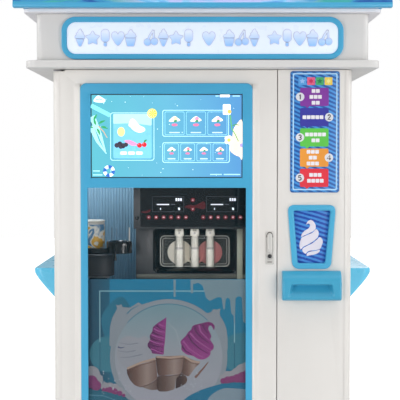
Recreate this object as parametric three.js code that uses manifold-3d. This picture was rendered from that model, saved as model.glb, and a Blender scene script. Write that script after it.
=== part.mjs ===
// Soft serve vending kiosk. A walk-up cabinet with a lit sign and an overhanging roof. Its wide hinged
// door carries a touch screen and a window, and the narrow column beside it has the pick-up hatch and a
// spoon tray. Inside stand a three-plunger soft serve freezer, a cup dropper, a topping dispenser and a
// cup transport.
//
// Millimetres. The origin is on the floor, under the middle of the roof. X runs to the right as the
// customer sees it, Y to the back, Z up.
import * as THREE from "three";
import { mergeVertices } from "three/addons/utils/BufferGeometryUtils.js";
import Module from "manifold-3d";

const wasm = await Module();
wasm.setup();

// ---- driving dimensions ----

const gap = 0.5; // left between pieces that touch
const sheet = 3; // folded steel
const cabinet = { side: 688, front: -525, back: 525, base: 102, top: 1832, corner: 33 };
const inner = { side: cabinet.side - sheet, front: -463, back: cabinet.back - sheet, floor: cabinet.base };
const bearerYs = [-430, 450];
const footXs = [-600, 600];
const door = { left: -688, right: 342.5, bottom: 112, top: 1834, back: -477 };
const doorWell = { left: -545, right: 215, bottom: 195, top: 1748 };
const hinge = { x: -668, y: -500, pin: 6, bore: 6.9, doorTop: 1828, notch: -632 };
const column = { left: 346 };
const centre = { left: 326, right: 372, back: -430 };
const bracket = { left: -684, right: -648, front: -518 };
const liner = { left: -655, right: -335, front: -46, back: -36, top: 1600, ribs: 14, flute: 4 };
const louvre = { halfWidth: 260, first: 1380, pitch: 34, height: 10, count: 7 };
const inlet = { left: -610, right: -530, bottom: 170, top: 240, proud: 8 };

const cornice = { overhang: 110, bottom: 1836, top: 1869, corner: 50 };
const fascia = { overhang: 65, top: 2081, corner: 30 };
const moulding = { overhang: 116, top: 2098, corner: 45 };
const roof = { overhang: 122, back: 680, top: 2180, crown: 56, edge: 15, wall: 4, corner: 40 };
const board = { halfWidth: 843, front: -680, back: -640 }; // stands along the roof's front edge
const lamp = { halfWidth: 560, front: -518, back: -510, top: 2005, footFront: -545, footBack: -485 };
const lampHole = { halfWidth: 590, bottom: 1915, top: 2025 };
const sign = { halfWidth: 636, bottom: 1875, top: 2066, border: 24, corner: 64, front: -606 };

const surround = { left: -560, right: 229, bottom: 180, top: 1771.5, front: -543, corner: 28 };
const screen = { left: -512.4, right: 183.3, bottom: 1339, top: 1722.8 };
const pane = { left: -528, right: 199.5, bottom: 215, top: 1293 };

const lock = { x: 310, bottom: 939, top: 1092, width: 38, spindleZ: 1074, keyZ: 977 };
const shelf = { reach: 110, halfLength: 405, top: 910, lip: 886, foot: 766, wall: 4 };
const hatch = { left: 401.5, right: 607.5, bottom: 928, top: 1205, front: -510, back: -504 };
const track = { left: 388, right: 621, back: -498, bottom: 915, top: 1470 };
const motor = { left: 468, right: 542, front: -512, back: -455, top: 1560 };
const tray = { left: 366, right: 636, bottom: 778, top: 910, front: -592 };
const guide = { left: 402.7, right: 629.1, bottom: 1271, top: 1828, corner: 12 }; // the instruction plate

const freezer = { left: -327, right: 253, front: -197, back: 470, bottom: 130, top: 1395, wall: 2.5 };
const hopper = { left: -278, right: 204, front: 82, back: 408, bottom: 1180, wall: 2 };
const freezerMid = (freezer.left + freezer.right) / 2;
const visor = { front: -325, bottom: 1090, top: 1340 };
const dispense = { y: -252, pitch: 75, bottom: 893, top: 1051, halfWidth: 170, boreR: 19.8 };
const barrel = { z: 963, outer: 66, inner: 60, front: -149.5, back: 200 };
const plungerXs = [-dispense.pitch, 0, dispense.pitch].map((offset) => freezerMid + offset);

const dropper = { x: -404, outer: 62, inner: 46, bottom: 968, top: 1026 };
const topping = { x: -517, y: -140, r: 80, bottom: 848, top: 963 };
const rail = { front: -320, back: -280, bottom: 520, top: 560 };
const carriage = { halfWidth: 45, front: -370, cheek: 12, bottom: 526, top: 620 };
const holder = { rodY: -345, rodR: 9.8, boreR: 10.6, bottom: 700, top: 730, inner: 38, outer: 46 };
const fan = { x: 120, z: 330, r: 94, opening: 103 };

// ---- solids ----

// A closed geometry as a manifold-3d solid.
function solid(geometry) {
  const bare = geometry.clone();
  bare.deleteAttribute("normal");
  bare.deleteAttribute("uv");
  const merged = mergeVertices(bare, 1e-4);
  return new wasm.Manifold(
    new wasm.Mesh({
      numProp: 3,
      vertProperties: merged.attributes.position.array,
      triVerts: new Uint32Array(merged.index.array),
    }),
  );
}

function toGeometry(body) {
  const mesh = body.getMesh();
  const indexed = new THREE.BufferGeometry()
    .setAttribute("position", new THREE.BufferAttribute(mesh.vertProperties, 3))
    .setIndex(new THREE.BufferAttribute(mesh.triVerts, 1));
  const faceted = indexed.toNonIndexed();
  faceted.computeVertexNormals();
  return faceted;
}

const union = (...bodies) => bodies.reduce((sum, body) => sum.add(body));
const cut = (body, ...tools) => tools.reduce((rest, tool) => rest.subtract(tool), body);

function block(x0, x1, y0, y1, z0, z1) {
  const box = new THREE.BoxGeometry(x1 - x0, y1 - y0, z1 - z0);
  return solid(box.translate((x0 + x1) / 2, (y0 + y1) / 2, (z0 + z1) / 2));
}

function extruded(shape, depth, curveSegments = 5) {
  return new THREE.ExtrudeGeometry(shape, { depth, curveSegments, bevelEnabled: false });
}

// A plan outline (x, y) raised from z0 to z1.
const prism = (shape, z0, z1) => solid(extruded(shape, z1 - z0).translate(0, 0, z0));

// A front outline (x, z) given thickness from y0 to y1.
const plate = (shape, y0, y1) => solid(extruded(shape, y1 - y0).rotateX(Math.PI / 2).translate(0, y1, 0));

// A side outline (y, z) drawn out from x0 to x1.
function drawn(shape, x0, x1) {
  const turn = new THREE.Matrix4().makeBasis(
    new THREE.Vector3(0, 1, 0),
    new THREE.Vector3(0, 0, 1),
    new THREE.Vector3(1, 0, 0),
  );
  return solid(extruded(shape, x1 - x0).applyMatrix4(turn).translate(x0, 0, 0));
}

const turnUp = (geometry) => geometry.rotateX(Math.PI / 2);

// A cylinder standing from z0 to z1, or lying along Y from y0 to y1.
const post = (x, y, z0, z1, r, sides = 16) =>
  solid(turnUp(new THREE.CylinderGeometry(r, r, z1 - z0, sides)).translate(x, y, (z0 + z1) / 2));
const axle = (x, z, y0, y1, r, sides = 16) =>
  solid(new THREE.CylinderGeometry(r, r, y1 - y0, sides).translate(x, (y0 + y1) / 2, z));

// A profile of [radius, height] points turned about a standing axis.
function turned(profile, x, y, sides = 24) {
  const points = profile.map(([r, z]) => new THREE.Vector2(r, z));
  return solid(new THREE.LatheGeometry(points, sides).rotateX(Math.PI / 2).translate(x, y, 0));
}

function polygon(points) {
  return new THREE.Shape(points.map(([a, b]) => new THREE.Vector2(a, b)));
}

// A polygon whose corners are rounded, each starting its curve `radius` before the corner.
function roundedPolygon(points, radius) {
  const corners = points.map(([a, b]) => new THREE.Vector2(a, b));
  const shape = new THREE.Shape();
  corners.forEach((corner, i) => {
    const before = corners[(i + corners.length - 1) % corners.length];
    const after = corners[(i + 1) % corners.length];
    const start = corner.clone().add(before.clone().sub(corner).setLength(radius));
    const end = corner.clone().add(after.clone().sub(corner).setLength(radius));
    if (i === 0) shape.moveTo(start.x, start.y);
    else shape.lineTo(start.x, start.y);
    shape.quadraticCurveTo(corner.x, corner.y, end.x, end.y);
  });
  shape.closePath();
  return shape;
}

function rectangle(left, right, low, high, radius) {
  const shape = new THREE.Shape();
  shape.moveTo(left + radius, low);
  shape.lineTo(right - radius, low);
  shape.absarc(right - radius, low + radius, radius, -Math.PI / 2, 0);
  shape.lineTo(right, high - radius);
  shape.absarc(right - radius, high - radius, radius, 0, Math.PI / 2);
  shape.lineTo(left + radius, high);
  shape.absarc(left + radius, high - radius, radius, Math.PI / 2, Math.PI);
  shape.lineTo(left, low + radius);
  shape.absarc(left + radius, low + radius, radius, Math.PI, (3 * Math.PI) / 2);
  return shape;
}

// A tapered pocket: its mouth is at y0 and its smaller floor, `inset` in from the mouth's edges, is at y1.
function taperedPocket(left, right, low, high, inset, y0, y1) {
  const box = new THREE.BoxGeometry(right - left, y1 - y0, high - low);
  const points = box.attributes.position;
  for (let i = 0; i < points.count; i++) {
    if (points.getY(i) < 0) continue;
    points.setX(i, points.getX(i) - Math.sign(points.getX(i)) * inset);
    points.setZ(i, points.getZ(i) - Math.sign(points.getZ(i)) * inset);
  }
  return solid(box.translate((left + right) / 2, (y0 + y1) / 2, (low + high) / 2));
}

// ---- materials ----

function material(color, roughness, metalness = 0, opacity = 1) {
  return new THREE.MeshStandardMaterial({ color, roughness, metalness, opacity, transparent: opacity < 1 });
}

const white = material(0xe4e1dd, 0.45);
const blue = material(0x5cb4dc, 0.35);
const deepBlue = material(0x2a62c4, 0.4);
const steel = material(0x8c8d92, 0.35, 0.9);
const darkGrey = material(0x45464a, 0.45);
const black = material(0x15161a, 0.3);
const rubber = material(0x222222, 0.8);
const clear = material(0xdfe8ea, 0.05, 0, 0.3);
const lit = material(0xf4f8ff, 0.3);
const cream = material(0xf0ece0, 0.4);

// ---- the scene ----

const kiosk = new THREE.Group();

function bodyGroup() {
  const group = new THREE.Group();
  kiosk.add(group);
  return group;
}

function place(group, name, body, finish, x = 0, y = 0, z = 0) {
  const mesh = new THREE.Mesh(toGeometry(body), finish);
  mesh.name = name;
  mesh.position.set(x, y, z);
  group.add(mesh);
}

// ---- cabinet ----

// A tray, open below, on two box-section bearers that stand on the feet.
function baseFrame() {
  const [width, front, back, low, high] = [684, -485, 520, 35, cabinet.base];
  const tray = cut(
    block(-width, width, front, back, low, high),
    block(-width + sheet, width - sheet, front + sheet, back - sheet, low - 1, high - sheet),
  );
  const end = width - 24;
  const bearer = (y) => block(-end, end, y - 35, y + 35, low, high - 1);
  const tunnel = (y) => block(-end - 5, end + 5, y - 32, y + 32, low + sheet, high - sheet);
  return cut(union(tray, ...bearerYs.map(bearer)), ...bearerYs.map(tunnel));
}

function levellingFoot() {
  return turned([[0, 0], [30, 0], [30, 8], [10, 14], [8, 14], [8, 34.5], [0, 34.5]], 0, 0, 16);
}

// side is -1 for the left wall and 1 for the right one; its front and back edges turn inwards as flanges.
function sideWall(side) {
  const rear = inner.back - gap;
  const outline = [
    [cabinet.side, inner.front],
    [cabinet.side, cabinet.back],
    [inner.side, cabinet.back],
    [inner.side, rear],
    [650, rear],
    [650, rear - sheet],
    [inner.side, rear - sheet],
    [inner.side, inner.front + sheet],
    [640, inner.front + sheet],
    [640, inner.front],
  ];
  const points = outline.map(([x, y]) => [side * x, y]);
  return prism(polygon(points), cabinet.base + gap, cabinet.top);
}

function backPanel() {
  const width = inner.side - gap;
  const skin = block(-width, width, inner.back, cabinet.back, cabinet.base + gap, cabinet.top);
  const proud = cabinet.back + inlet.proud;
  const inletBoss = block(inlet.left, inlet.right, cabinet.back - 1, proud, inlet.bottom, inlet.top);
  const round = axle(fan.x, fan.z, inner.back - 5, cabinet.back + 5, fan.opening, 28);
  const slots = [];
  for (let row = 0; row < louvre.count; row++) {
    const { halfWidth, first, pitch, height } = louvre;
    const z = first + row * pitch;
    slots.push(block(-halfWidth, halfWidth, inner.back - 5, cabinet.back + 5, z, z + height));
  }
  const spokes = [0, 1, 2].map((i) => {
    const bar = new THREE.BoxGeometry(2 * fan.opening + 8, 7, 10);
    return solid(bar.rotateY((i * Math.PI) / 3).translate(fan.x, inner.back - 3, fan.z));
  });
  const boss = axle(fan.x, fan.z, inner.back - 11, inner.back, 24);
  return union(cut(union(skin, inletBoss), round, ...slots), boss, ...spokes);
}

function ceilingPanel() {
  const width = cabinet.side - 1;
  return block(-width, width, inner.front, cabinet.back - 1, cabinet.top + gap, cornice.bottom - gap);
}

function pickupOpening() {
  return roundedPolygon([[437, 942.3], [568.5, 942.3], [592.2, 1190.5], [416.5, 1190.5]], 12);
}

function columnPanel() {
  const { left } = column;
  const back = inner.front - 1;
  const cx = cabinet.side - cabinet.corner;
  const cy = cabinet.front + cabinet.corner;
  const outline = new THREE.Shape();
  outline.moveTo(left, back);
  outline.lineTo(left, cabinet.front);
  outline.absarc(cx, cy, cabinet.corner, -Math.PI / 2, 0);
  outline.lineTo(cabinet.side, back);
  outline.lineTo(cabinet.side - sheet, back);
  outline.absarc(cx, cy, cabinet.corner - sheet, 0, -Math.PI / 2, true);
  outline.lineTo(left + sheet, cabinet.front + sheet);
  outline.lineTo(left + sheet, back);
  const skin = prism(outline, door.bottom, door.top);
  return cut(skin, plate(pickupOpening(), cabinet.front - 5, cabinet.front + sheet + 5));
}

// A channel, open to the back, that the latch hooks behind.
function centrePost() {
  const { left, right, back } = centre;
  const [front, low, high] = [inner.front, inner.floor + gap, cabinet.top];
  const hollow = block(left + sheet, right - sheet, front + sheet, back + 5, low - 5, high + 5);
  return cut(block(left, right, front, back, low, high), hollow);
}

function hingeBracket(plateLow, plateHigh, pinLow, pinHigh) {
  const leaf = block(bracket.left, bracket.right, bracket.front, inner.front - 1, plateLow, plateHigh);
  return union(leaf, post(hinge.x, hinge.y, pinLow, pinHigh, hinge.pin, 12));
}

function ribbedLiner() {
  const { left, right, front, back, top, ribs, flute } = liner;
  const valley = front + flute;
  const pitch = (right - left) / ribs;
  const face = [];
  for (let i = 0; i < ribs; i++) {
    const x = left + i * pitch;
    face.push([x, valley], [x + pitch * 0.3, valley], [x + pitch * 0.4, front], [x + pitch * 0.9, front]);
  }
  return prism(polygon([...face, [right, front], [right, back], [left, back]]), inner.floor + gap, top);
}

// ---- canopy ----

function slabOutline(overhang, corner) {
  const x = cabinet.side + overhang;
  const y = cabinet.back + overhang;
  return rectangle(-x, x, -y, y, corner);
}

// A ring of folded sheet round the canopy, open on its inner side.
function canopyRing({ overhang, corner }, low, high, hasTop) {
  const outer = slabOutline(overhang, corner);
  outer.holes.push(slabOutline(12, 20));
  const ring = prism(outer, low, high);
  const top = hasTop ? high - sheet : high + 5;
  return cut(ring, prism(slabOutline(overhang - sheet, corner - sheet), low + sheet, top));
}

function signHousing() {
  const outer = slabOutline(fascia.overhang, fascia.corner);
  outer.holes.push(slabOutline(fascia.overhang - sheet, fascia.corner - sheet));
  const front = cabinet.front - fascia.overhang;
  const { halfWidth, bottom, top } = lampHole;
  const lightHole = block(-halfWidth, halfWidth, front - 5, front + sheet + 5, bottom, top);
  return cut(prism(outer, cornice.top + gap, fascia.top), lightHole);
}

function signOutline(inset) {
  const { halfWidth, bottom, top, corner } = sign;
  return rectangle(-halfWidth + inset, halfWidth - inset, bottom + inset, top - inset, corner - inset);
}

function signFrame() {
  const ring = signOutline(0);
  ring.holes.push(signOutline(sign.border));
  return plate(ring, sign.front, cabinet.front - fascia.overhang - gap);
}

const signDiffuser = () =>
  plate(signOutline(sign.border + gap), sign.front + 6, cabinet.front - fascia.overhang - 2 * gap);

function signLamp() {
  const { halfWidth, front, back, top, footFront, footBack } = lamp;
  const foot = block(-halfWidth, halfWidth, footFront, footBack, cornice.top + gap, cornice.top + 6);
  return union(foot, block(-halfWidth, halfWidth, front, back, cornice.top + 5, top));
}

// The roof's outer form, or with an inset its hollow. Its upper edge is curved over.
function roofForm(inset, low) {
  const top = roof.top - inset;
  const [reach, margin] = [roof.overhang - roof.edge - inset, roof.edge + inset];
  const [side, front] = [cabinet.side + reach, cabinet.front - reach];
  const slab = new THREE.ExtrudeGeometry(rectangle(-side, side, front, roof.back - margin, roof.corner), {
    depth: 2,
    curveSegments: 5,
    bevelThickness: roof.crown,
    bevelSize: roof.edge,
    bevelSegments: 4,
  });
  const whole = solid(slab.translate(0, 0, top - roof.crown - 2));
  return whole.intersect(block(-900, 900, -800, 800, low, roof.top + 1));
}

// The board's section, or with an inset its hollow's. It is upright at the foot and curved over at the top.
function boardSection(inset, low, back) {
  const front = board.front + inset;
  const top = roof.top - inset;
  const section = new THREE.Shape();
  section.moveTo(back, low);
  section.lineTo(front + 2, low);
  section.lineTo(front, low + 8);
  section.lineTo(front + 6, top - 36);
  section.quadraticCurveTo(front + 12, top, board.back - 10, top);
  section.lineTo(back, top);
  section.closePath();
  return section;
}

function roofCap() {
  const low = moulding.top + gap;
  const floor = low + roof.wall;
  const innerWidth = cabinet.side + roof.overhang - 12;
  const front = drawn(boardSection(0, low, board.back), -board.halfWidth, board.halfWidth);
  const frontHollow = drawn(boardSection(roof.wall, floor, board.back + 20), -innerWidth, innerWidth);
  const mouth = prism(slabOutline(50, 30), low - 5, low + 10);
  return cut(union(roofForm(0, low), front), roofForm(roof.wall, floor), frontHollow, mouth);
}

// ---- fittings on the outside ----

function shelfOutline(side, root, inset) {
  const tip = side * (cabinet.side + shelf.reach - inset);
  const top = shelf.top - inset;
  const foot = shelf.foot + 2 * inset;
  const outline = new THREE.Shape();
  outline.moveTo(root, foot);
  outline.lineTo(root, top);
  outline.lineTo(tip - side * 8, top);
  outline.quadraticCurveTo(tip, top, tip, top - 8);
  outline.lineTo(tip, shelf.lip);
  outline.quadraticCurveTo(tip - side * 10, 850 + inset, side * (cabinet.side + 10), foot);
  outline.closePath();
  return outline;
}

function sideShelf(side) {
  const root = side * (cabinet.side + gap);
  const { halfLength, wall } = shelf;
  const form = plate(shelfOutline(side, root, 0), -halfLength, halfLength);
  const hollow = plate(shelfOutline(side, root - side * 5, wall), -halfLength + wall, halfLength - wall);
  return cut(form, hollow);
}

function instructionPlate() {
  const { left, right, bottom, top, corner } = guide;
  return plate(rectangle(left, right, bottom, top, corner), cabinet.front - 3, cabinet.front - gap);
}

function pickupFrame() {
  const ring = roundedPolygon([[415, 918.6], [592.4, 918.6], [614.5, 1214], [391, 1214]], 36);
  ring.holes.push(pickupOpening());
  return plate(ring, cabinet.front - 9, cabinet.front - gap);
}

function spoonTray() {
  const back = cabinet.front - gap;
  const side = new THREE.Shape();
  side.moveTo(back, tray.bottom + 4);
  side.lineTo(back, tray.top);
  side.lineTo(-556, tray.top);
  side.quadraticCurveTo(-588, 900, tray.front, 862);
  side.lineTo(tray.front, tray.bottom + 14);
  side.quadraticCurveTo(tray.front, tray.bottom, tray.front + 16, tray.bottom);
  side.closePath();
  const scoop = polygon([[-600, 796], [-548, 836], [-548, 862], [-600, 862]]);
  return cut(drawn(side, tray.left, tray.right), drawn(scoop, tray.left + 39, tray.right - 25));
}

// ---- pick-up hatch ----

function hatchTrack() {
  const front = cabinet.front + sheet + gap;
  const { left, right, back, bottom, top } = track;
  const upright = (x) => block(x, x + 22, front, back, bottom, top + 1);
  const beam = block(left, right, front, back, top, top + 30);
  const groove = block(left + 12, right - 12, hatch.front - 1, hatch.back + 1, bottom - 1, top - 2);
  return cut(union(upright(left), upright(right - 22), beam), groove);
}

const pickupHatch = () => block(hatch.left, hatch.right, hatch.front, hatch.back, hatch.bottom, hatch.top);

function hatchMotor() {
  const { left, right, front, back, top } = motor;
  const low = track.top + 30 + gap;
  const pulley = axle((left + right) / 2, top - 30, back - 1, back + 35, 24);
  return union(block(left, right, front, back, low, top), pulley);
}

// ---- main door ----

function doorPlan(inset) {
  const r = cabinet.corner - inset;
  const back = door.back - inset;
  const cx = door.left + cabinet.corner;
  const outline = new THREE.Shape();
  outline.moveTo(door.left + inset, back);
  outline.lineTo(door.left + inset, cabinet.front + cabinet.corner);
  outline.absarc(cx, cabinet.front + cabinet.corner, r, Math.PI, (3 * Math.PI) / 2);
  outline.lineTo(door.right - 6, cabinet.front + inset);
  outline.absarc(door.right - 6, cabinet.front + 6, 6 - inset, -Math.PI / 2, 0);
  outline.lineTo(door.right - inset, back);
  return outline;
}

// The sloping flank beside the surround, from the door's face up to the surround's.
function doorRamp(foot, crest) {
  const face = cabinet.front;
  return prism(
    polygon([[foot, face], [crest, surround.front + 2], [crest, face + 1], [foot, face + 1]]),
    surround.bottom,
    surround.top,
  );
}

// A folded pan with a well for the screen and window. Its back edges turn in to carry the gasket, and its
// upper left corner is notched to pass under the hinge bracket.
function mainDoor() {
  const { left, right, bottom, top } = doorWell;
  const [front, back] = [cabinet.front, door.back];
  const notch = (grow) =>
    block(door.left - 1, hinge.notch + grow, front - 1, back + 1, hinge.doorTop - grow, door.top + 1);
  const pan = cut(
    prism(doorPlan(0), door.bottom, door.top),
    notch(0),
    cut(prism(doorPlan(sheet), door.bottom + sheet, door.top - sheet), notch(sheet)),
    block(-640, 298, back - 10, back + 5, door.bottom + 30, door.top - 30),
  );
  const well = block(left - sheet, right + sheet, front + 1, back, bottom - sheet, top + sheet);
  const hingeBlock = (z0, z1) => block(-684, -650, -519, -483, z0, z1);
  const parts = [
    pan,
    well,
    hingeBlock(hinge.doorTop - 40, hinge.doorTop),
    hingeBlock(door.bottom + 1, door.bottom + 40),
    doorRamp(-590, surround.left - gap),
    doorRamp(261.5, surround.right + gap),
  ];
  return cut(
    union(...parts),
    block(left, right, front - 5, back + 5, bottom, top),
    post(hinge.x, hinge.y, 1797, 1835, hinge.bore),
    post(hinge.x, hinge.y, 105, 143, hinge.bore),
    axle(lock.x, lock.spindleZ, front - 5, back + 5, 8),
    axle(lock.x, lock.keyZ, front - 5, back + 5, 9.9),
  );
}

function doorSurround() {
  const { left, right, bottom, top, front, corner } = surround;
  const face = rectangle(left, right, bottom, top, corner);
  face.holes.push(rectangle(screen.left, screen.right, screen.bottom, screen.top, 2));
  face.holes.push(rectangle(pane.left, pane.right, pane.bottom, pane.top, 4));
  return plate(face, front, cabinet.front - gap);
}

function touchScreen() {
  const glass = block(screen.left + 1, screen.right - 1, -539, -524, screen.bottom + 1, screen.top - 1);
  return union(glass, block(-535, 205, cabinet.front, -485, 1322, 1740));
}

const windowGlass = () => block(-541, 211, -524.8, -518.8, 201, 1306);

function doorGasket() {
  const ring = rectangle(-657, 341, 126, 1815, 6);
  ring.holes.push(rectangle(-642, 326, 141, 1800, 3));
  return plate(ring, door.back + gap, inner.front - 1);
}

// ---- lock ----

function lockPlate() {
  const half = lock.width / 2;
  const face = rectangle(lock.x - half, lock.x + half, lock.bottom, lock.top, 5);
  const y = cabinet.front - 3;
  return cut(
    plate(face, y, cabinet.front - gap),
    axle(lock.x, lock.spindleZ, y - 5, y + 5, 8),
    axle(lock.x, lock.keyZ, y - 5, y + 5, 9.9),
  );
}

function lockSpindle() {
  const shaft = axle(lock.x, lock.spindleZ, -528.5, -418, 7, 12);
  return union(shaft, block(lock.x - 9, lock.x + 9, -426, -418, 1010, lock.spindleZ + 9));
}

function lockHandle() {
  return plate(rectangle(lock.x - 11.5, lock.x + 11.5, 994, 1084, 10), -541, -529.5);
}

function keyCylinder() {
  const slot = block(lock.x - 1.2, lock.x + 1.2, -534, -530, lock.keyZ - 6, lock.keyZ + 6);
  return cut(axle(lock.x, lock.keyZ, -533, -500, 9, 18), slot);
}

// ---- soft serve freezer ----

function freezerHousing() {
  const { left, right, front, back, bottom, top, wall } = freezer;
  const box = block(left, right, front, back, bottom, top);
  const inside = block(left + wall, right - wall, front + wall, back + 5, bottom + wall, top - wall);
  const faceHole = block(freezerMid - 200, freezerMid + 200, front - 5, front + wall + 5, 869, 1084);
  const lidHole = block(-280, 206, 80, 410, top - wall - 5, top + 5);
  const leg = (x, y) => block(x, x + 60, y, y + 60, inner.floor + gap, bottom + 1);
  const legs = [front + 10, back - 70].flatMap((y) => [leg(left + 10, y), leg(right - 70, y)]);
  return union(cut(box, inside, faceHole, lidHole), ...legs);
}

function controlHead() {
  const [left, right] = [freezer.left - 3, freezer.right + 3];
  const back = freezer.front - gap;
  const { front, bottom, top } = visor;
  const shell = block(left, right, front, back, bottom, top);
  const hollow = block(left + 2, right - 2, front + 2, back + 5, bottom + 2, top - 2);
  return cut(shell, hollow, block(left + 15, right - 15, front + 15, back + 5, bottom - 5, bottom + 5));
}

const controlPanel = () =>
  plate(rectangle(freezerMid - 261, freezerMid + 261, 1099, 1322, 6), visor.front - 4, visor.front - gap);

function dripSurround() {
  const [left, right, low, high] = [freezerMid - 205, freezerMid + 205, 864, 1089];
  const flange = plate(rectangle(left, right, low, high, 26), -203, freezer.front - gap);
  const bowl = block(left + 5.5, right - 5.5, -198, -150, low + 5.5, high - 5.5);
  const pocket = taperedPocket(left + 9, right - 9, low + 9, high - 9, 20, -210, -158);
  const ports = [plungerXs[0], plungerXs[2]].map((x) => axle(x, barrel.z, -170, -140, barrel.inner, 24));
  return cut(union(flange, bowl), pocket, ...ports);
}

function dispensingHead() {
  const { y, bottom, top, halfWidth, boreR } = dispense;
  const face = rectangle(freezerMid - halfWidth, freezerMid + halfWidth, bottom + 5, top, 22);
  const slab = plate(face, -222, -158.5);
  const round = (x) => post(x, y, bottom, top - 1, 27);
  const boss = (x) => union(block(x - 27, x + 27, y, -220, bottom, top - 1), round(x));
  const bosses = plungerXs.map(boss);
  const bores = plungerXs.map((x) => post(x, y, bottom - 10, top + 10, boreR, 20));
  return cut(union(slab, ...bosses), ...bores);
}

// Lifts in its bore to let the product out. It is drawn about its own axis, with its foot at height 0.
function plunger() {
  const body = [[0, 0], [19, 0], [19, 151]];
  const collar = [[22.5, 151], [22.5, 176], [18, 179]];
  const stem = [[8.5, 179], [8.5, 299], [0, 299]];
  return turned([...body, ...collar, ...stem], 0, 0, 20);
}

function liftActuators() {
  const body = block(plungerXs[0] - 33, plungerXs[2] + 33, -275, -229, 1170, visor.top - 2 - gap);
  return cut(body, ...plungerXs.map((x) => post(x, dispense.y, 1160, 1240, 10)));
}

function freezingBarrels() {
  const xs = [plungerXs[0], plungerXs[2]];
  const tubes = xs.map((x) => axle(x, barrel.z, barrel.front, barrel.back + 1, barrel.outer, 24));
  const bores = xs.map((x) => axle(x, barrel.z, barrel.front - 5, barrel.back, barrel.inner, 24));
  const backPlate = block(xs[0] - 78, xs[1] + 78, barrel.back, barrel.back + 12, 885, 1041);
  const shaftHoles = xs.map((x) => axle(x, barrel.z, barrel.back - 5, barrel.back + 10, 12));
  const gearMotor = block(xs[0] - 38, xs[1] + 38, barrel.back + 11, 330, 900, 1026);
  return cut(union(...tubes, backPlate, gearMotor), ...bores, ...shaftHoles);
}

// Two scraper blades wound about a shaft that lies along Y.
function beater() {
  const length = 335;
  const steps = 12;
  const how = { depth: length, steps, curveSegments: 1, bevelEnabled: false };
  const blade = new THREE.ExtrudeGeometry(rectangle(-53, 53, -5, 5, 4), how);
  const points = blade.attributes.position;
  for (let i = 0; i < points.count; i++) {
    const angle = (points.getZ(i) / length) * Math.PI * 1.5;
    const [x, y] = [points.getX(i), points.getY(i)];
    points.setXY(i, x * Math.cos(angle) - y * Math.sin(angle), x * Math.sin(angle) + y * Math.cos(angle));
  }
  const wound = solid(blade.rotateX(Math.PI / 2).translate(0, 190, 0));
  return union(wound, axle(0, 0, -155, 207, 10, 12));
}

// Two mix basins side by side, hung by their rim in the freezer's top.
function mixHopper() {
  const { left, right, front, back, bottom, wall } = hopper;
  const rim = freezer.top + gap;
  const middle = (left + right) / 2;
  const basin = (x0, x1) => block(x0, x1, front + wall, back - wall, bottom + wall, rim + 10);
  const body = block(left, right, front, back, bottom, rim + 1);
  const flange = block(left - 7, right + 7, front - 20, back + 16, rim, rim + wall);
  return cut(union(body, flange), basin(left + wall, middle - 4), basin(middle + 4, right - wall));
}

function hopperLid() {
  const low = freezer.top + hopper.wall + 2 * gap;
  const [left, right, front, back] = [-290, 216, 50, 430];
  const shell = cut(
    block(left, right, front, back, low, low + 14),
    block(left + 2, right - 2, front + 2, back - 2, low - 1, low + 12),
  );
  return union(shell, block(freezerMid - 60, freezerMid + 60, 90, 106, low + 13, low + 34));
}

function compressor() {
  return turned([[0, 0], [76, 0], [76, 120], [64, 158], [32, 172], [0, 174]], 0, 0, 20);
}

function coolingFan() {
  const hub = axle(0, 0, -12, 12, 30, 18);
  const blades = [0, 1, 2, 3, 4].map((i) => {
    const blade = new THREE.BoxGeometry(fan.r - 20, 26, 3).rotateX(0.55);
    blade.translate((fan.r + 20) / 2, 0, 0).rotateY((i * 2 * Math.PI) / 5);
    return solid(blade);
  });
  return union(hub, ...blades);
}

// ---- cup handling ----

function cupDropper() {
  const { x, outer, inner: hole, bottom, top } = dropper;
  const y = dispense.y;
  const inside = [[hole, top], [hole, bottom]];
  const ring = turned([...inside, [outer, bottom], [outer, top - 8], [outer - 8, top], [hole, top]], x, y);
  const arm = block(-inner.side + gap, x - outer + 12, y - 16, y + 16, bottom - 4, bottom + 24);
  const guides = [20, 140, 260].map((degrees) => {
    const angle = THREE.MathUtils.degToRad(degrees);
    return post(x + 51 * Math.cos(angle), y + 51 * Math.sin(angle), top - 3, top + 66, 3, 8);
  });
  return union(ring, arm, post(x - 17, y - 56, bottom - 32, bottom + 2, 8, 10), ...guides);
}

function toppingDispenser() {
  const { x, y, r, bottom, top } = topping;
  const stand = block(x - 40, x + 40, y - 40, y + 40, inner.floor + gap, bottom + 1);
  return union(stand, turned([[0, bottom], [r, bottom], [r, top - 4], [r - 4, top], [0, top]], x, y));
}

function toppingCanister() {
  const low = topping.top + gap;
  const cap = [[58, 1112], [58, 1120], [54, 1123], [0, 1123]];
  return turned([[0, low], [56, low], [56, 1112], ...cap], -540, -150);
}

function transportRail() {
  const { front, back, bottom, top } = rail;
  const end = inner.side - 1;
  const beam = block(-end, end, front, back, bottom, top);
  const flange = (x) => block(x, x + 10, front - 20, back + 20, bottom - 30, top + 40);
  return union(beam, flange(-end), flange(end - 10));
}

// Drawn with its middle at x 0, where it rides astride the rail.
function cupCarriage() {
  const { halfWidth: half, front, cheek, bottom, top } = carriage;
  const saddle = block(-half, half, front, rail.back + cheek, rail.top + gap, top);
  const side = (y0, y1) => block(-half, half, y0, y1, bottom, rail.top + 1);
  const sides = [side(rail.front - cheek - 1, rail.front - gap), side(rail.back + gap, rail.back + cheek)];
  return cut(union(saddle, ...sides), post(0, holder.rodY, bottom - 26, top + 20, holder.boreR));
}

function cupHolder() {
  const { rodY, rodR, bottom, top, inner: hole, outer } = holder;
  const section = [[hole, bottom], [outer, bottom], [outer, top], [hole, top], [hole, bottom]];
  const ring = turned(section, 0, dispense.y);
  const arm = block(-14, 14, rodY, dispense.y - hole - 4, bottom, bottom + 12);
  return union(ring, arm, post(0, rodY, 300, bottom + 5, rodR));
}

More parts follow.
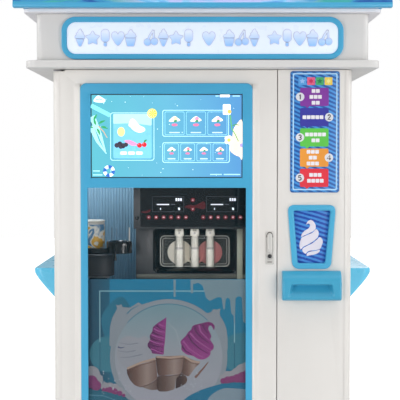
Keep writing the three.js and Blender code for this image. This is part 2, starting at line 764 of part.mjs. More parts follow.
// ---- assembly, one group for each body that moves ----

const root = bodyGroup();
place(root, "base_frame", baseFrame(), darkGrey);
["front", "back"].forEach((end, i) =>
  ["left", "right"].forEach((hand, j) =>
    place(root, `foot_${end}_${hand}`, levellingFoot(), rubber, footXs[j], bearerYs[i]),
  ),
);
place(root, "left_side_panel", sideWall(-1), white);
place(root, "right_side_panel", sideWall(1), white);
place(root, "back_panel", backPanel(), white);
place(root, "ceiling_panel", ceilingPanel(), white);
place(root, "column_panel", columnPanel(), white);
place(root, "centre_post", centrePost(), white);
place(root, "hinge_bracket_top", hingeBracket(1830, 1835.3, 1800, 1832), steel);
place(root, "hinge_bracket_bottom", hingeBracket(102.5, 110.5, 105, 140), steel);
place(root, "ribbed_liner", ribbedLiner(), blue);
place(root, "cornice", canopyRing(cornice, cornice.bottom, cornice.top, true), white);
place(root, "sign_housing", signHousing(), white);
place(root, "sign_frame", signFrame(), blue);
place(root, "sign_diffuser", signDiffuser(), lit);
place(root, "sign_lamp", signLamp(), lit);
place(root, "roof_moulding", canopyRing(moulding, fascia.top + gap, moulding.top, false), white);
place(root, "roof_cap", roofCap(), deepBlue);
place(root, "side_shelf_left", sideShelf(-1), blue);
place(root, "side_shelf_right", sideShelf(1), blue);
place(root, "instruction_plate", instructionPlate(), deepBlue);
place(root, "pickup_frame", pickupFrame(), blue);
place(root, "spoon_tray", spoonTray(), blue);
place(root, "hatch_track", hatchTrack(), steel);
place(root, "hatch_motor", hatchMotor(), darkGrey);

place(root, "freezer_housing", freezerHousing(), steel);
place(root, "control_head", controlHead(), steel);
place(root, "control_panel", controlPanel(), black);
place(root, "drip_surround", dripSurround(), black);
place(root, "dispensing_head", dispensingHead(), clear);
place(root, "lift_actuators", liftActuators(), darkGrey);
place(root, "freezing_barrels", freezingBarrels(), steel);
place(root, "mix_hopper", mixHopper(), steel);
place(root, "compressor", compressor(), black, -190, 150, freezer.bottom + freezer.wall + gap);
place(root, "cup_dropper", cupDropper(), black);
place(root, "topping_dispenser", toppingDispenser(), darkGrey);
place(root, "topping_canister", toppingCanister(), cream);
place(root, "transport_rail", transportRail(), steel);

const mainDoorGroup = bodyGroup();
place(mainDoorGroup, "main_door", mainDoor(), white);
place(mainDoorGroup, "door_surround", doorSurround(), blue);
place(mainDoorGroup, "touch_screen", touchScreen(), black);
place(mainDoorGroup, "window_glass", windowGlass(), clear);
place(mainDoorGroup, "door_gasket", doorGasket(), rubber);
place(mainDoorGroup, "lock_plate", lockPlate(), steel);
place(mainDoorGroup, "lock_spindle", lockSpindle(), steel);
place(mainDoorGroup, "lock_handle", lockHandle(), steel);
place(mainDoorGroup, "key_cylinder", keyCylinder(), black);

place(bodyGroup(), "pickup_hatch", pickupHatch(), deepBlue);
["left", "centre", "right"].forEach((side, i) =>
  place(bodyGroup(), "plunger_" + side, plunger(), cream, plungerXs[i], dispense.y, 901),
);
place(bodyGroup(), "beater_left", beater(), cream, plungerXs[0], 0, barrel.z);
place(bodyGroup(), "beater_right", beater(), cream, plungerXs[2], 0, barrel.z);
place(bodyGroup(), "hopper_lid", hopperLid(), steel);
place(bodyGroup(), "cooling_fan", coolingFan(), black, fan.x, 489, fan.z);
place(bodyGroup(), "cup_carriage", cupCarriage(), darkGrey, dropper.x, 0, 0);
place(bodyGroup(), "cup_holder", cupHolder(), steel, dropper.x, 0, 0);

export default kiosk;
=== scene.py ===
import math
import random

import bmesh
import bpy
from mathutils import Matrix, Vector
from mathutils.geometry import tessellate_polygon


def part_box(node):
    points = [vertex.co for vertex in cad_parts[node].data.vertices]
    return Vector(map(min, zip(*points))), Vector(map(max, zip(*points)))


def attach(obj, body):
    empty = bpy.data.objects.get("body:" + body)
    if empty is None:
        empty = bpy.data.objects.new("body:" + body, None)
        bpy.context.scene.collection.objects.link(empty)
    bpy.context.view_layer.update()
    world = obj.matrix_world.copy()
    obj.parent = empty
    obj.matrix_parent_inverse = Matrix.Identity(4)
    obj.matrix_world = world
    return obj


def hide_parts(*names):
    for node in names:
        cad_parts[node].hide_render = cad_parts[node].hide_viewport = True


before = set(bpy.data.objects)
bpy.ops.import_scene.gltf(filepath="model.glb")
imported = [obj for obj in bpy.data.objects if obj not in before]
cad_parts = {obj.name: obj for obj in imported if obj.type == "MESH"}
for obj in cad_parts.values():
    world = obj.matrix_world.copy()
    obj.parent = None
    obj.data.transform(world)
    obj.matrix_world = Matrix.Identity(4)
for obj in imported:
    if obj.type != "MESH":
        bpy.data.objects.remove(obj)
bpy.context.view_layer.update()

# Shapes are in millimetres, as in the CAD part. Pieces are in metres, like the camera and the lights.
MM = 0.001
TAU = 2 * math.pi
scene = bpy.context.scene
scene.view_settings.view_transform = "Standard"


# ---- the camera, the lights and the floor ----


def link(name, data):
    """A new object in the scene."""
    thing = bpy.data.objects.new(name, data)
    scene.collection.objects.link(thing)
    return thing


def make_camera():
    data = bpy.data.cameras.new("camera")
    data.sensor_width = 36
    data.lens = 96.66
    camera = link("camera", data)
    camera.location = (-0.0115, -5.468, 1.430)
    camera.rotation_euler = (math.radians(90 - 2.24), 0, 0)
    scene.camera = camera


def area_light(name, place, target, size, power, colour=(1, 1, 1)):
    data = bpy.data.lights.new(name, "AREA")
    data.shape = "RECTANGLE"
    data.size, data.size_y = size
    data.energy = power
    data.color = colour
    light = link(name, data)
    light.location = place
    light.rotation_euler = (Vector(target) - Vector(place)).to_track_quat("-Z", "Y").to_euler()


def make_world(ambient):
    """White to the camera, and a soft even light on everything else."""
    world = bpy.data.worlds.new("world")
    scene.world = world
    world.use_nodes = True
    nodes, links = world.node_tree.nodes, world.node_tree.links
    seen = nodes["Background"]
    seen.inputs["Color"].default_value = (1, 1, 1, 1)
    light = nodes.new("ShaderNodeBackground")
    light.inputs["Color"].default_value = (0.96, 0.98, 1, 1)
    light.inputs["Strength"].default_value = ambient
    ray = nodes.new("ShaderNodeLightPath")
    mix = nodes.new("ShaderNodeMixShader")
    links.new(ray.outputs["Is Camera Ray"], mix.inputs[0])
    links.new(light.outputs[0], mix.inputs[1])
    links.new(seen.outputs[0], mix.inputs[2])
    links.new(mix.outputs[0], nodes["World Output"].inputs["Surface"])


make_camera()
make_world(0.46)
area_light("front_left_softbox", (-3.5, -4.9, 1.3), (0, -0.4, 1.0), (1.8, 2.6), 74)
area_light("front_right_softbox", (3.5, -4.9, 1.3), (0, -0.4, 1.0), (1.8, 2.6), 76)
area_light("left_softbox", (-4.4, -0.8, 3.0), (-0.6, 0, 0.9), (2, 2), 62)
area_light("right_softbox", (4.4, -0.8, 3.0), (0.6, 0, 0.9), (2, 2), 62)
area_light("top_softbox", (0, -1.0, 5.0), (0, 0, 0), (4, 4), 40)
area_light("back_softbox", (0.5, 5.0, 3.0), (0, 0, 1.0), (3.5, 2.5), 60)
area_light("cabinet_lamp", (-0.50, -0.30, 1.66), (-0.50, -0.12, 0.9), (0.22, 0.2), 2.8, (0.85, 0.93, 1))
area_light("machine_lamp", (-0.03, -0.47, 1.08), (-0.03, -0.455, 0.93), (0.44, 0.04), 1.5, (1, 0.98, 0.95))


# ---- materials ----


def srgb(red, green, blue):
    """A colour as a screen shows it, 0 to 255, in the shaders' linear values."""
    parts = [c / 255 for c in (red, green, blue)]
    return tuple(c / 12.92 if c < 0.04 else ((c + 0.055) / 1.055) ** 2.4 for c in parts) + (1.0,)


def shade(colour, factor):
    return tuple(min(1.0, c * factor) for c in colour[:3]) + (1.0,)


class Look:
    """A material under construction: a Principled shader and the nodes that feed it."""

    def __init__(self, name):
        self.material = bpy.data.materials.new(name)
        self.material.use_nodes = True
        self.tree = self.material.node_tree
        self.shader = self.tree.nodes["Principled BSDF"]
        self.place = self.add("TexCoord").outputs["Object"]

    def add(self, kind, **inputs):
        node = self.tree.nodes.new("ShaderNode" + kind)
        for name, value in inputs.items():
            self.feed(node.inputs[name.replace("_", " ")], value)
        return node

    def feed(self, socket, value):
        if isinstance(value, bpy.types.NodeSocket):
            self.tree.links.new(value, socket)
        else:
            socket.default_value = value

    def set(self, **inputs):
        for name, value in inputs.items():
            self.feed(self.shader.inputs[name.replace("_", " ")], value)

    def noise(self, scale, detail=3.0, stretch=None, distortion=0.0):
        """Soft noise, about 0.3 to 0.7, stretched along the axes whose stretch is small."""
        place = self.place
        if stretch:
            place = self.add("Mapping", Vector=place, Scale=stretch).outputs[0]
        node = self.add("TexNoise", Vector=place, Scale=scale, Detail=detail, Distortion=distortion)
        return node.outputs["Fac"]

    def span(self, value, low, high, start=0.3, stop=0.7):
        """From low to high, as the value goes from start to stop."""
        node = self.add("MapRange", Value=value, From_Min=start, From_Max=stop, To_Min=low, To_Max=high)
        return node.outputs["Result"]

    def ramp(self, value, *stops):
        node = self.add("ValToRGB", Fac=value)
        elements = node.color_ramp.elements
        while len(elements) < len(stops):
            elements.new(0.5)
        for element, (position, colour) in zip(elements, stops):
            element.position = position
            element.color = colour
        return node.outputs["Color"]

    def along(self, axis, low, high):
        """0 to 1 as the place goes from low to high, in millimetres, along the X, Y or Z axis."""
        part = self.add("SeparateXYZ", Vector=self.place).outputs[axis]
        return self.span(part, 0.0, 1.0, low * MM, high * MM)

    def mix(self, factor, first, second, blend="MIX"):
        """Two colours mixed by a factor. Sockets 6 and 7 of the node, and its output 2, are its colours."""
        node = self.tree.nodes.new("ShaderNodeMix")
        node.data_type = "RGBA"
        node.blend_type = blend
        self.feed(node.inputs[0], factor)
        self.feed(node.inputs[6], first)
        self.feed(node.inputs[7], second)
        return node.outputs[2]

    def bump(self, height, strength, distance=0.0004):
        self.set(Normal=self.add("Bump", Height=height, Strength=strength, Distance=distance).outputs[0])


def mottled(look, colour, amount, scale):
    """The colour, a little darker and lighter in soft patches."""
    return look.ramp(look.noise(scale), (0.3, shade(colour, 1 - amount)), (0.7, shade(colour, 1 + amount)))


def painted(name, colour, roughness, grain=900, relief=0.08, amount=0.025, coat=0.0, metallic=0.0):
    """Sprayed or powder-coated paint: faint patches of tone, uneven gloss and a fine orange peel."""
    look = Look(name)
    look.set(Base_Color=mottled(look, colour, amount, 2.3), Metallic=metallic)
    look.set(Roughness=look.span(look.noise(14), roughness - 0.05, roughness + 0.06))
    look.set(Coat_Weight=coat, Coat_Roughness=0.12)
    look.bump(look.noise(grain, 2.0), relief)
    return look.material


def brushed(name, colour, along=(1, 1, 90), roughness=0.34, amount=0.12):
    """Brushed metal: fine lines that run the way the stretch is small."""
    look = Look(name)
    lines = look.noise(9, 4.0, along)
    tone = look.ramp(lines, (0.25, shade(colour, 1 - amount)), (0.75, shade(colour, 1 + amount)))
    smear = look.span(look.noise(3.5), 0.9, 1.06)
    look.set(Base_Color=look.mix(1.0, tone, smear, "MULTIPLY"), Metallic=1.0)
    look.set(Roughness=look.span(lines, roughness - 0.08, roughness + 0.12), Anisotropic=0.4)
    look.bump(lines, 0.12, 0.0002)
    return look.material


def moulded(name, colour, roughness=0.45, amount=0.05, grain=420, relief=0.12):
    """Moulded plastic or rubber with a fine texture."""
    look = Look(name)
    look.set(Base_Color=mottled(look, colour, amount, 9))
    look.set(Roughness=look.span(look.noise(30), roughness - 0.07, roughness + 0.08))
    look.bump(look.noise(grain, 3.0), relief)
    return look.material


def see_through(name, colour, alpha, roughness=0.03, gloss=0.5):
    """A clear sheet: faint smears in its gloss and a little of its own tint."""
    look = Look(name)
    look.set(Base_Color=mottled(look, colour, 0.03, 5), Alpha=alpha)
    look.set(Roughness=look.span(look.noise(6), roughness, roughness + 0.05))
    look.set(IOR=1.49, Specular_IOR_Level=gloss)
    return look.material


def glowing(name, colour, strength, patch=0.04, scale=12):
    """A lit surface: an emission that varies a little over it."""
    look = Look(name)
    tone = mottled(look, colour, patch, scale)
    look.set(Base_Color=tone, Emission_Color=tone, Emission_Strength=strength)
    look.set(Roughness=look.span(look.noise(20), 0.25, 0.4))
    return look.material


inks = {}


def ink(red, green, blue, glow=0.0):
    """Printed colour, or with a glow a lit one, made once for each tone."""
    key = f"ink_{red:03d}_{green:03d}_{blue:03d}" + (f"_lit{round(glow * 100)}" if glow else "")
    if key not in inks:
        colour = srgb(red, green, blue)
        inks[key] = glowing(key, colour, glow) if glow else painted(key, colour, 0.42, 700, 0.03, 0.05)
    return inks[key]


def roof_watercolour():
    """Wet runs of paint: teal and deep blue towards the ends, pale blue and lavender in the middle."""
    look = Look("roof_watercolour")
    runs = look.noise(3.2, 6.0, (1.0, 1.0, 5.0), 1.2)
    deep, sea, teal = srgb(30, 96, 172), srgb(58, 150, 200), srgb(66, 172, 172)
    sky, ice, lavender = srgb(92, 156, 232), srgb(134, 208, 248), srgb(194, 204, 252)
    ends = look.ramp(runs, (0.40, deep), (0.48, sea), (0.56, teal))
    middle = look.ramp(runs, (0.40, sky), (0.48, ice), (0.56, lavender))
    stops = [(0.24, (0, 0, 0, 1)), (0.38, (1, 1, 1, 1)), (0.72, (1, 1, 1, 1)), (0.82, (0, 0, 0, 1))]
    spread = look.ramp(look.along("X", -843, 843), *stops)
    look.set(Base_Color=look.mix(spread, ends, middle))
    look.set(Roughness=look.span(look.noise(18), 0.28, 0.42))
    look.bump(look.noise(600, 2.0), 0.05)
    return look.material


def striped(name, dark, light, width, lean):
    """Two blues in stripes that lean by an angle in degrees, with soft, hand-drawn edges."""
    look = Look(name)
    turned = look.add("Mapping", Vector=look.place, Rotation=(0, math.radians(lean), 0))
    wave = look.add("TexWave", Vector=turned.outputs[0], Distortion=1.2, Detail=2.0, Detail_Scale=1.2)
    wave.inputs["Scale"].default_value = TAU / 40 / (width * MM)
    wave.bands_direction = "Z"
    tone = look.ramp(wave.outputs["Fac"], (0.35, dark), (0.65, light))
    look.set(Base_Color=tone, Roughness=look.span(look.noise(16), 0.24, 0.36))
    look.bump(look.noise(500, 2.0), 0.04)
    return look.material


def screen_glow():
    """The lit ground of the touch screen, from aqua at the left to blue at the right."""
    look = Look("screen_glow")
    across = look.along("X", -512, 183)
    tone = look.ramp(across, (0.0, srgb(98, 205, 222)), (0.5, srgb(110, 200, 232)), (1.0, srgb(92, 165, 228)))
    haze = look.ramp(look.noise(5, 3.0), (0.35, (0.92, 0.95, 0.97, 1)), (0.7, (1, 1, 1, 1)))
    tone = look.mix(1.0, tone, haze, "MULTIPLY")
    look.set(Base_Color=(0.02, 0.03, 0.04, 1), Emission_Color=tone, Emission_Strength=1.0)
    look.set(Roughness=look.span(look.noise(25), 0.12, 0.2))
    return look.material


def fading(name, axis, low, high, *tones, roughness=0.4, glow=0.0):
    """Colours that run into each other along an axis, evenly spaced."""
    look = Look(name)
    grey = look.ramp(look.noise(8), (0.3, (0.93, 0.93, 0.93, 1)), (0.7, (1, 1, 1, 1)))
    stops = [(k / (len(tones) - 1), tone) for k, tone in enumerate(tones)]
    tone = look.mix(1.0, look.ramp(look.along(axis, low, high), *stops), grey, "MULTIPLY")
    look.set(Base_Color=tone, Roughness=look.span(look.noise(20), roughness - 0.05, roughness + 0.08))
    if glow:
        look.set(Emission_Color=tone, Emission_Strength=glow)
    look.bump(look.noise(600, 2.0), 0.04)
    return look.material


WHITE = painted("cabinet_white", srgb(226, 222, 217), 0.38)
WHITE_SIGN = painted("canopy_white", srgb(214, 212, 210), 0.4)
# The moulding's white is a little bluer than the cabinet's: a faint painted shade tint, from its place under
# the roof's overhang.
WHITE_TRIM = painted("moulding_white", srgb(226, 224, 228), 0.4)
BLUE = painted("trim_blue", srgb(66, 166, 208), 0.34, amount=0.04, coat=0.1)
BLUE_LIGHT = painted("pickup_blue", srgb(70, 172, 212), 0.34, amount=0.04, coat=0.1)
BLUE_TRAY = painted("tray_blue", srgb(60, 162, 198), 0.34, amount=0.05, coat=0.1)
BLUE_SHELF = painted("shelf_blue", srgb(96, 196, 232), 0.3, relief=0.03, amount=0.04, coat=0.2)
STEEL = brushed("stainless", srgb(150, 149, 152))
# A darker copy of the stainless: painted shade, used mostly on steel inside the cabinet.
STEEL_SHADED = brushed("stainless_shaded", srgb(84, 84, 86), (1, 1, 60), 0.4)
STEEL_BRIGHT = brushed("stainless_bright", srgb(206, 204, 200), (70, 1, 1), 0.24)
ALUMINIUM = brushed("anodised_aluminium", srgb(188, 190, 194), (1, 60, 60), 0.38)
PLINTH = painted("plinth_grey", srgb(96, 98, 102), 0.45, relief=0.16)
RUBBER = moulded("black_rubber", srgb(36, 36, 38), 0.75)
DARK = moulded("dark_plastic", srgb(44, 44, 48), 0.42)
DARK_GREY = moulded("charcoal_plastic", srgb(62, 61, 66), 0.5)
GLOSS_BLACK = moulded("black_gloss", srgb(14, 15, 20), 0.13, 0.1, 60, 0.02)
CREAM = moulded("cream_plastic", srgb(236, 232, 222), 0.34, 0.03)
GREY_BAND = moulded("grey_band", srgb(186, 184, 180), 0.4)
# The liner's blue runs dark at the bottom to pale at the top: painted shade below and painted light from
# above.
RIBBED = fading("ribbed_blue", "Z", 500, 1500, srgb(78, 124, 160), srgb(168, 206, 228))
GLASS = see_through("window_glass", srgb(40, 70, 78), 0.08, gloss=0.25)
ACRYLIC = see_through("clear_acrylic", srgb(120, 124, 122), 0.14, 0.06)
SCREEN = screen_glow()
SIGN_GLOW = glowing("sign_glow", srgb(226, 235, 246), 0.16, 0.015, 4)
SIGN_ICON = fading("sign_icon", "Z", 1926, 2000, srgb(120, 180, 244), srgb(222, 230, 250), glow=0.2)


# ---- outlines, as lists of (across, up) points in millimetres ----


def polar(x, z, radius, degrees):
    angle = math.radians(degrees)
    return x + radius * math.cos(angle), z + radius * math.sin(angle)


def arc(x, z, radius, start, stop, steps):
    """Points along a circle from one angle to another, in degrees."""
    return [polar(x, z, radius, start + (stop - start) * k / steps) for k in range(steps + 1)]


def curve(start, pull, stop, steps):
    """Points from start to stop on a curve drawn towards the point pull."""
    a, b, c = (Vector(point) for point in (start, pull, stop))
    shares = [k / steps for k in range(steps + 1)]
    return [tuple((1 - t) ** 2 * a + 2 * t * (1 - t) * b + t * t * c) for t in shares]


def circle(x, z, radius, steps=32, squash=1.0):
    return [(x + a, z + b * squash) for a, b in arc(0, 0, radius, 0, 360, steps)[:-1]]


def rounded(left, right, low, high, radius, steps=7):
    """A rectangle with round corners, anticlockwise."""
    left, right, low, high = left + radius, right - radius, low + radius, high - radius
    middles = ((right, low, -90), (right, high, 0), (left, high, 90), (left, low, 180))
    return [point for x, z, start in middles for point in arc(x, z, radius, start, start + 90, steps)]


def bordered(left, right, low, high, radius, width, inner):
    """A rounded rectangle and its hole, which leaves a border of the width and has the inner radius."""
    hole = rounded(left + width, right - width, low + width, high - width, inner)
    return rounded(left, right, low, high, radius), hole


def cornered(points, radius, steps=6):
    """A polygon with each corner softened, starting the curve `radius` before it."""
    out = []
    for i, corner in enumerate(points):
        corner = Vector(corner)
        before = (Vector(points[i - 1]) - corner).normalized()
        after = (Vector(points[(i + 1) % len(points)]) - corner).normalized()
        out += curve(corner + before * radius, corner, corner + after * radius, steps)
    return out


def blob(points, steps=5):
    """A closed curve that passes smoothly through the points."""
    out = []
    count = len(points)
    for i in range(count):
        a, b, c, d = (Vector(points[(i + k) % count]) for k in (-1, 0, 1, 2))
        for k in range(steps):
            t = k / steps
            square, cube = 2 * a - 5 * b + 4 * c - d, 3 * b - a - 3 * c + d
            out.append(tuple(0.5 * (2 * b + (c - a) * t + square * t * t + cube * t**3)))
    return out


def stroke(points, width, end_width=None):
    """The outline of a pen stroke along the points, thinning or widening to end_width."""
    end_width = width if end_width is None else end_width
    left, right = [], []
    count = len(points)
    for i, point in enumerate(points):
        ahead = Vector(points[min(i + 1, count - 1)]) - Vector(points[max(i - 1, 0)])
        side = Vector((-ahead.y, ahead.x)).normalized()
        half = (width + (end_width - width) * i / (count - 1)) / 2
        left.append(tuple(Vector(point) + side * half))
        right.append(tuple(Vector(point) - side * half))
    return right + left[::-1]


def star(x, z, radius, arms=5, waist=0.45):
    reach = (radius, radius * waist)
    return [polar(x, z, reach[i % 2], 90 + 180 * i / arms) for i in range(2 * arms)]


def moved(points, x, z, scale=1.0, turn=0.0):
    c, s = math.cos(math.radians(turn)) * scale, math.sin(math.radians(turn)) * scale
    return [(x + c * a - s * b, z + s * a + c * b) for a, b in points]


def anticlockwise(loop):
    """The loop, turned round if it runs clockwise."""
    area = sum(a[0] * b[1] - b[0] * a[1] for a, b in zip(loop, loop[1:] + loop[:1]))
    return loop if area > 0 else loop[::-1]


def inset(loop, amount):
    """The loop with every side moved to its left by the amount."""
    if not amount:
        return loop
    out = []
    for i, point in enumerate(loop):
        point = Vector(point)
        into = (point - Vector(loop[i - 1])).normalized()
        away = (Vector(loop[(i + 1) % len(loop)]) - point).normalized()
        normal = Vector((-into.y - away.y, into.x + away.x))
        if normal.length < 1e-6:
            normal = Vector((-into.y, into.x))
        normal.normalize()
        cosine = max(0.35, normal.dot(Vector((-into.y, into.x))))
        out.append(tuple(point + normal * (amount / cosine)))
    return out


# ---- shapes, as (points, faces) in millimetres ----

FRONT = lambda a, b, h: (a, -h, b)
PLAN = lambda a, b, h: (a, b, h)
SIDE = lambda a, b, h: (h, a, b)


def slab(loops, low, high, way=PLAN, bevel=0.0, back_bevel=0.0, steps=3):
    """A plate between two heights, with rounded edges. The first loop is its outline, the rest are holes."""
    loops = [anticlockwise(loop)[::-1] if i else anticlockwise(loop) for i, loop in enumerate(loops)]
    turns = [math.pi / 2 * k / steps for k in range(steps + 1)]
    rings = []
    for turn in turns if back_bevel else turns[:1]:
        rings.append((back_bevel * (1 - math.sin(turn)), low + back_bevel * (1 - math.cos(turn))))
    for turn in turns[::-1] if bevel else turns[:1]:
        rings.append((bevel * (1 - math.sin(turn)), high - bevel * (1 - math.cos(turn))))
    points, faces, starts = [], [], []
    for loop in loops:
        start, size = len(points), len(loop)
        starts.append((start, size))
        for amount, height in rings:
            points += [way(a, b, height) for a, b in inset(loop, amount)]
        for k in range(len(rings) - 1):
            faces += band_faces(start + k * size, start + (k + 1) * size, size)
    for ring, flip in ((0, True), (len(rings) - 1, False)):
        order = [start + ring * size + i for start, size in starts for i in range(size)]
        flat = [[Vector((*point, 0)) for point in inset(loop, rings[ring][0])] for loop in loops]
        for triangle in tessellate_polygon(flat):
            corners = tuple(order[i] for i in triangle)
            faces.append(corners[::-1] if flip else corners)
    return points, faces


def band_faces(first, second, size):
    """The faces between two rings of points that start at first and at second."""
    return [(first + i, first + (i + 1) % size, second + (i + 1) % size, second + i) for i in range(size)]


def front_slab(loops, front, back, **how):
    """A plate seen from the front, from y = front to y = back."""
    return slab(loops, -back, -front, FRONT, **how)


def brick(x0, x1, y0, y1, z0, z1, bevel=1.0):
    """A block with rounded edges all round."""
    bevel = min(bevel, (x1 - x0) / 2.1, (y1 - y0) / 2.1, (z1 - z0) / 2.1)
    return slab([rounded(x0, x1, y0, y1, bevel, 2)], z0, z1, bevel=bevel, back_bevel=bevel, steps=2)


def loft(loops, close=True):
    """A skin over loops of equal size, closed at both ends unless close is off."""
    size = len(loops[0])
    points = [point for loop in loops for point in loop]
    faces = []
    for start in range(0, len(points) - size, size):
        faces += band_faces(start, start + size, size)
    if close:
        faces.append(tuple(range(size))[::-1])
        faces.append(tuple(range(len(points) - size, len(points))))
    return points, faces


def lathe(profile, x, y, steps=48, axis="Z", base=0.0):
    """A profile of (radius, height) points, from one end of the axis to the other, turned about it."""
    loops = []
    for radius, height in profile:
        ring = circle(x, y, max(radius, 0.02), steps)
        loops.append([(a, b, base + height) if axis == "Z" else (a, base + height, b) for a, b in ring])
    return loft(loops)


def ring_lathe(profile, x, y, steps=64):
    """A closed profile of (radius, height) points turned about a standing axis, leaving a hole."""
    loops = [[(*polar(x, y, radius, 360 * k / steps), z) for radius, z in profile] for k in range(steps)]
    points, faces = loft(loops, close=False)
    size = len(profile)
    return points, faces + band_faces(len(points) - size, 0, size)


def tube(path, radius, sides=8):
    """A round bar along a path of points."""
    path = [Vector(point) for point in path]
    loops, side = [], None
    for i, point in enumerate(path):
        ahead = (path[min(i + 1, len(path) - 1)] - path[max(i - 1, 0)]).normalized()
        side = ahead.orthogonal() if side is None else side
        side = (side - ahead * side.dot(ahead)).normalized()
        up = ahead.cross(side)
        loops.append([tuple(point + side * a + up * b) for a, b in circle(0, 0, radius, sides)])
    return loft(loops)


def screw(x, z, front, radius=4.5, facing=-1):
    """A domed screw head with a round socket, on a panel that faces -Y, or +Y where facing is 1."""
    profile = [(1, 0.0), (1, 0.6), (0.8, 1.5), (0.45, 1.9), (0.3, 1.1), (0, 1.0)]
    return lathe([(r * radius, facing * h) for r, h in profile], x, z, 20, "Y", front)


# ---- pieces ----


class Box:
    """A CAD node's box, in millimetres."""

    def __init__(self, node):
        low, high = (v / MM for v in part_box(node))
        self.x0, self.y0, self.z0 = low
        self.x1, self.y1, self.z1 = high
        self.x, self.y, self.z = (low + high) / 2
        self.width, self.depth, self.height = high - low

    def outline(self, radius, steps=7, inward=0.0):
        """The box from the front, with round corners."""
        return rounded(self.x0 + inward, self.x1 - inward, self.z0 + inward, self.z1 - inward, radius, steps)

    def plate(self, radius, steps=7, **how):
        """A plate with round corners that fills the box."""
        return front_slab([self.outline(radius, steps)], self.y0, self.y1, **how)


def placed(name, mesh, body, replaces):
    """The mesh as an object that rides on a body, in place of the CAD nodes named."""
    thing = link(name, mesh)
    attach(thing, body)
    if replaces:
        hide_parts(*replaces)


def piece(name, parts, look, body, replaces=(), angle=32):
    """One object made of shapes. Each part is a shape, or a (shape, material) pair."""
    mesh = bpy.data.meshes.new(name)
    looks, points, faces, indices = [look], [], [], []
    for part in parts:
        shape, paint = part if hasattr(part[1], "node_tree") else (part, look)
        if paint not in looks:
            looks.append(paint)
        start = len(points)
        points += [tuple(c * MM for c in point) for point in shape[0]]
        faces += [tuple(start + i for i in face) for face in shape[1]]
        indices += [looks.index(paint)] * len(shape[1])
    mesh.from_pydata(points, [], faces)
    for paint in looks:
        mesh.materials.append(paint)
    mesh.polygons.foreach_set("material_index", indices)
    joined = bmesh.new()
    joined.from_mesh(mesh)
    bmesh.ops.remove_doubles(joined, verts=joined.verts, dist=1e-6)
    bmesh.ops.recalc_face_normals(joined, faces=joined.faces)
    joined.to_mesh(mesh)
    joined.free()
    mesh.shade_smooth()
    mesh.set_sharp_from_angle(angle=math.radians(angle))
    placed(name, mesh, body, replaces)


def finished(node, parts, look, body="kiosk", angle=32):
    """The detailed piece that stands for one CAD node."""
    piece(node + "_finished", parts, look, body, [node], angle)


def softened(node, look, body="kiosk", width=0.8):
    """A CAD node's shape with its edges rounded over."""
    shape = bmesh.new()
    shape.from_mesh(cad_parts[node].data)
    bmesh.ops.remove_doubles(shape, verts=shape.verts, dist=1e-5)
    bmesh.ops.dissolve_limit(shape, angle_limit=math.radians(1), verts=shape.verts, edges=shape.edges)
    sharp = [e for e in shape.edges if len(e.link_faces) == 2 and e.calc_face_angle(0) > math.radians(30)]
    how = {"segments": 2, "profile": 0.5, "affect": "EDGES", "clamp_overlap": True}
    bmesh.ops.bevel(shape, geom=sharp, offset=width * MM, **how)
    bmesh.ops.remove_doubles(shape, verts=shape.verts, dist=1e-6)
    mesh = bpy.data.meshes.new(node + "_finished")
    shape.to_mesh(mesh)
    shape.free()
    mesh.materials.clear()
    mesh.materials.append(look)
    mesh.polygons.foreach_set("material_index", [0] * len(mesh.polygons))
    mesh.shade_smooth()
    mesh.set_sharp_from_angle(angle=math.radians(32))
    placed(mesh.name, mesh, body, [node])


class Print:
    """Flat printed shapes, each drawn a little over the last. An outline's holes follow it."""

    def __init__(self):
        self.art = []

    def draw(self, paint, *loops):
        self.art.append((paint, *loops))

    def lines(self, paint, width, end_width, *paths):
        for path in paths:
            self.draw(paint, stroke(path, width, end_width))

    def finish(self, name, front, body, step=0.012):
        """The print as a piece on a face at y = front."""
        parts = []
        for place, (paint, *loops) in enumerate(self.art, 2):
            parts.append((front_slab(loops, front - step * place, front), paint))
        piece(name, parts, self.art[0][0], body, angle=20)


# ---- the cabinet ----


def make_floor():
    """A pale floor that fades into the white background away from the machine."""
    look = Look("studio_floor")
    look.set(Base_Color=mottled(look, (0.8, 0.8, 0.8, 1), 0.01, 2.3))
    look.set(Roughness=look.span(look.noise(14), 0.55, 0.65))
    reach = look.add("VectorMath", Vector=look.place)
    reach.operation = "LENGTH"
    fade = look.span(reach.outputs["Value"], 0.0, 1.1, 0.95, 1.5)
    seen = look.add("Math", Value=fade)
    seen.operation = "MULTIPLY"
    look.tree.links.new(look.add("LightPath").outputs["Is Camera Ray"], seen.inputs[1])
    look.set(Emission_Color=(1, 1, 1, 1), Emission_Strength=seen.outputs[0])
    floor = link("floor", bpy.data.meshes.new("floor"))
    shape = bmesh.new()
    bmesh.ops.create_circle(shape, cap_ends=True, segments=96, radius=14)
    shape.to_mesh(floor.data)
    shape.free()
    floor.data.materials.append(look.material)


def make_feet():
    """Four levelling feet: a rubber pad, a hexagon nut and a threaded stem."""
    pad = [(0, 0), (29, 0), (30, 1.5), (30, 6), (28, 9), (14, 13), (10, 15), (0, 15)]
    nut = [(0, 15), (15, 15), (16, 16), (16, 22), (15, 23), (0, 23)]
    for place in ("front_left", "front_right", "back_left", "back_right"):
        b = Box("foot_" + place)
        thread = [(r, 22 + h + 1.5 * k) for k in range(8) for r, h in ((7.2, 0), (8, 0.7))]
        stem = [(0, 22), *thread, (7.2, b.z1), (0, b.z1)]
        steel = [(lathe(nut, b.x, b.y, 6), STEEL), (lathe(stem, b.x, b.y, 24), STEEL)]
        finished("foot_" + place, [lathe(pad, b.x, b.y), *steel], RUBBER)


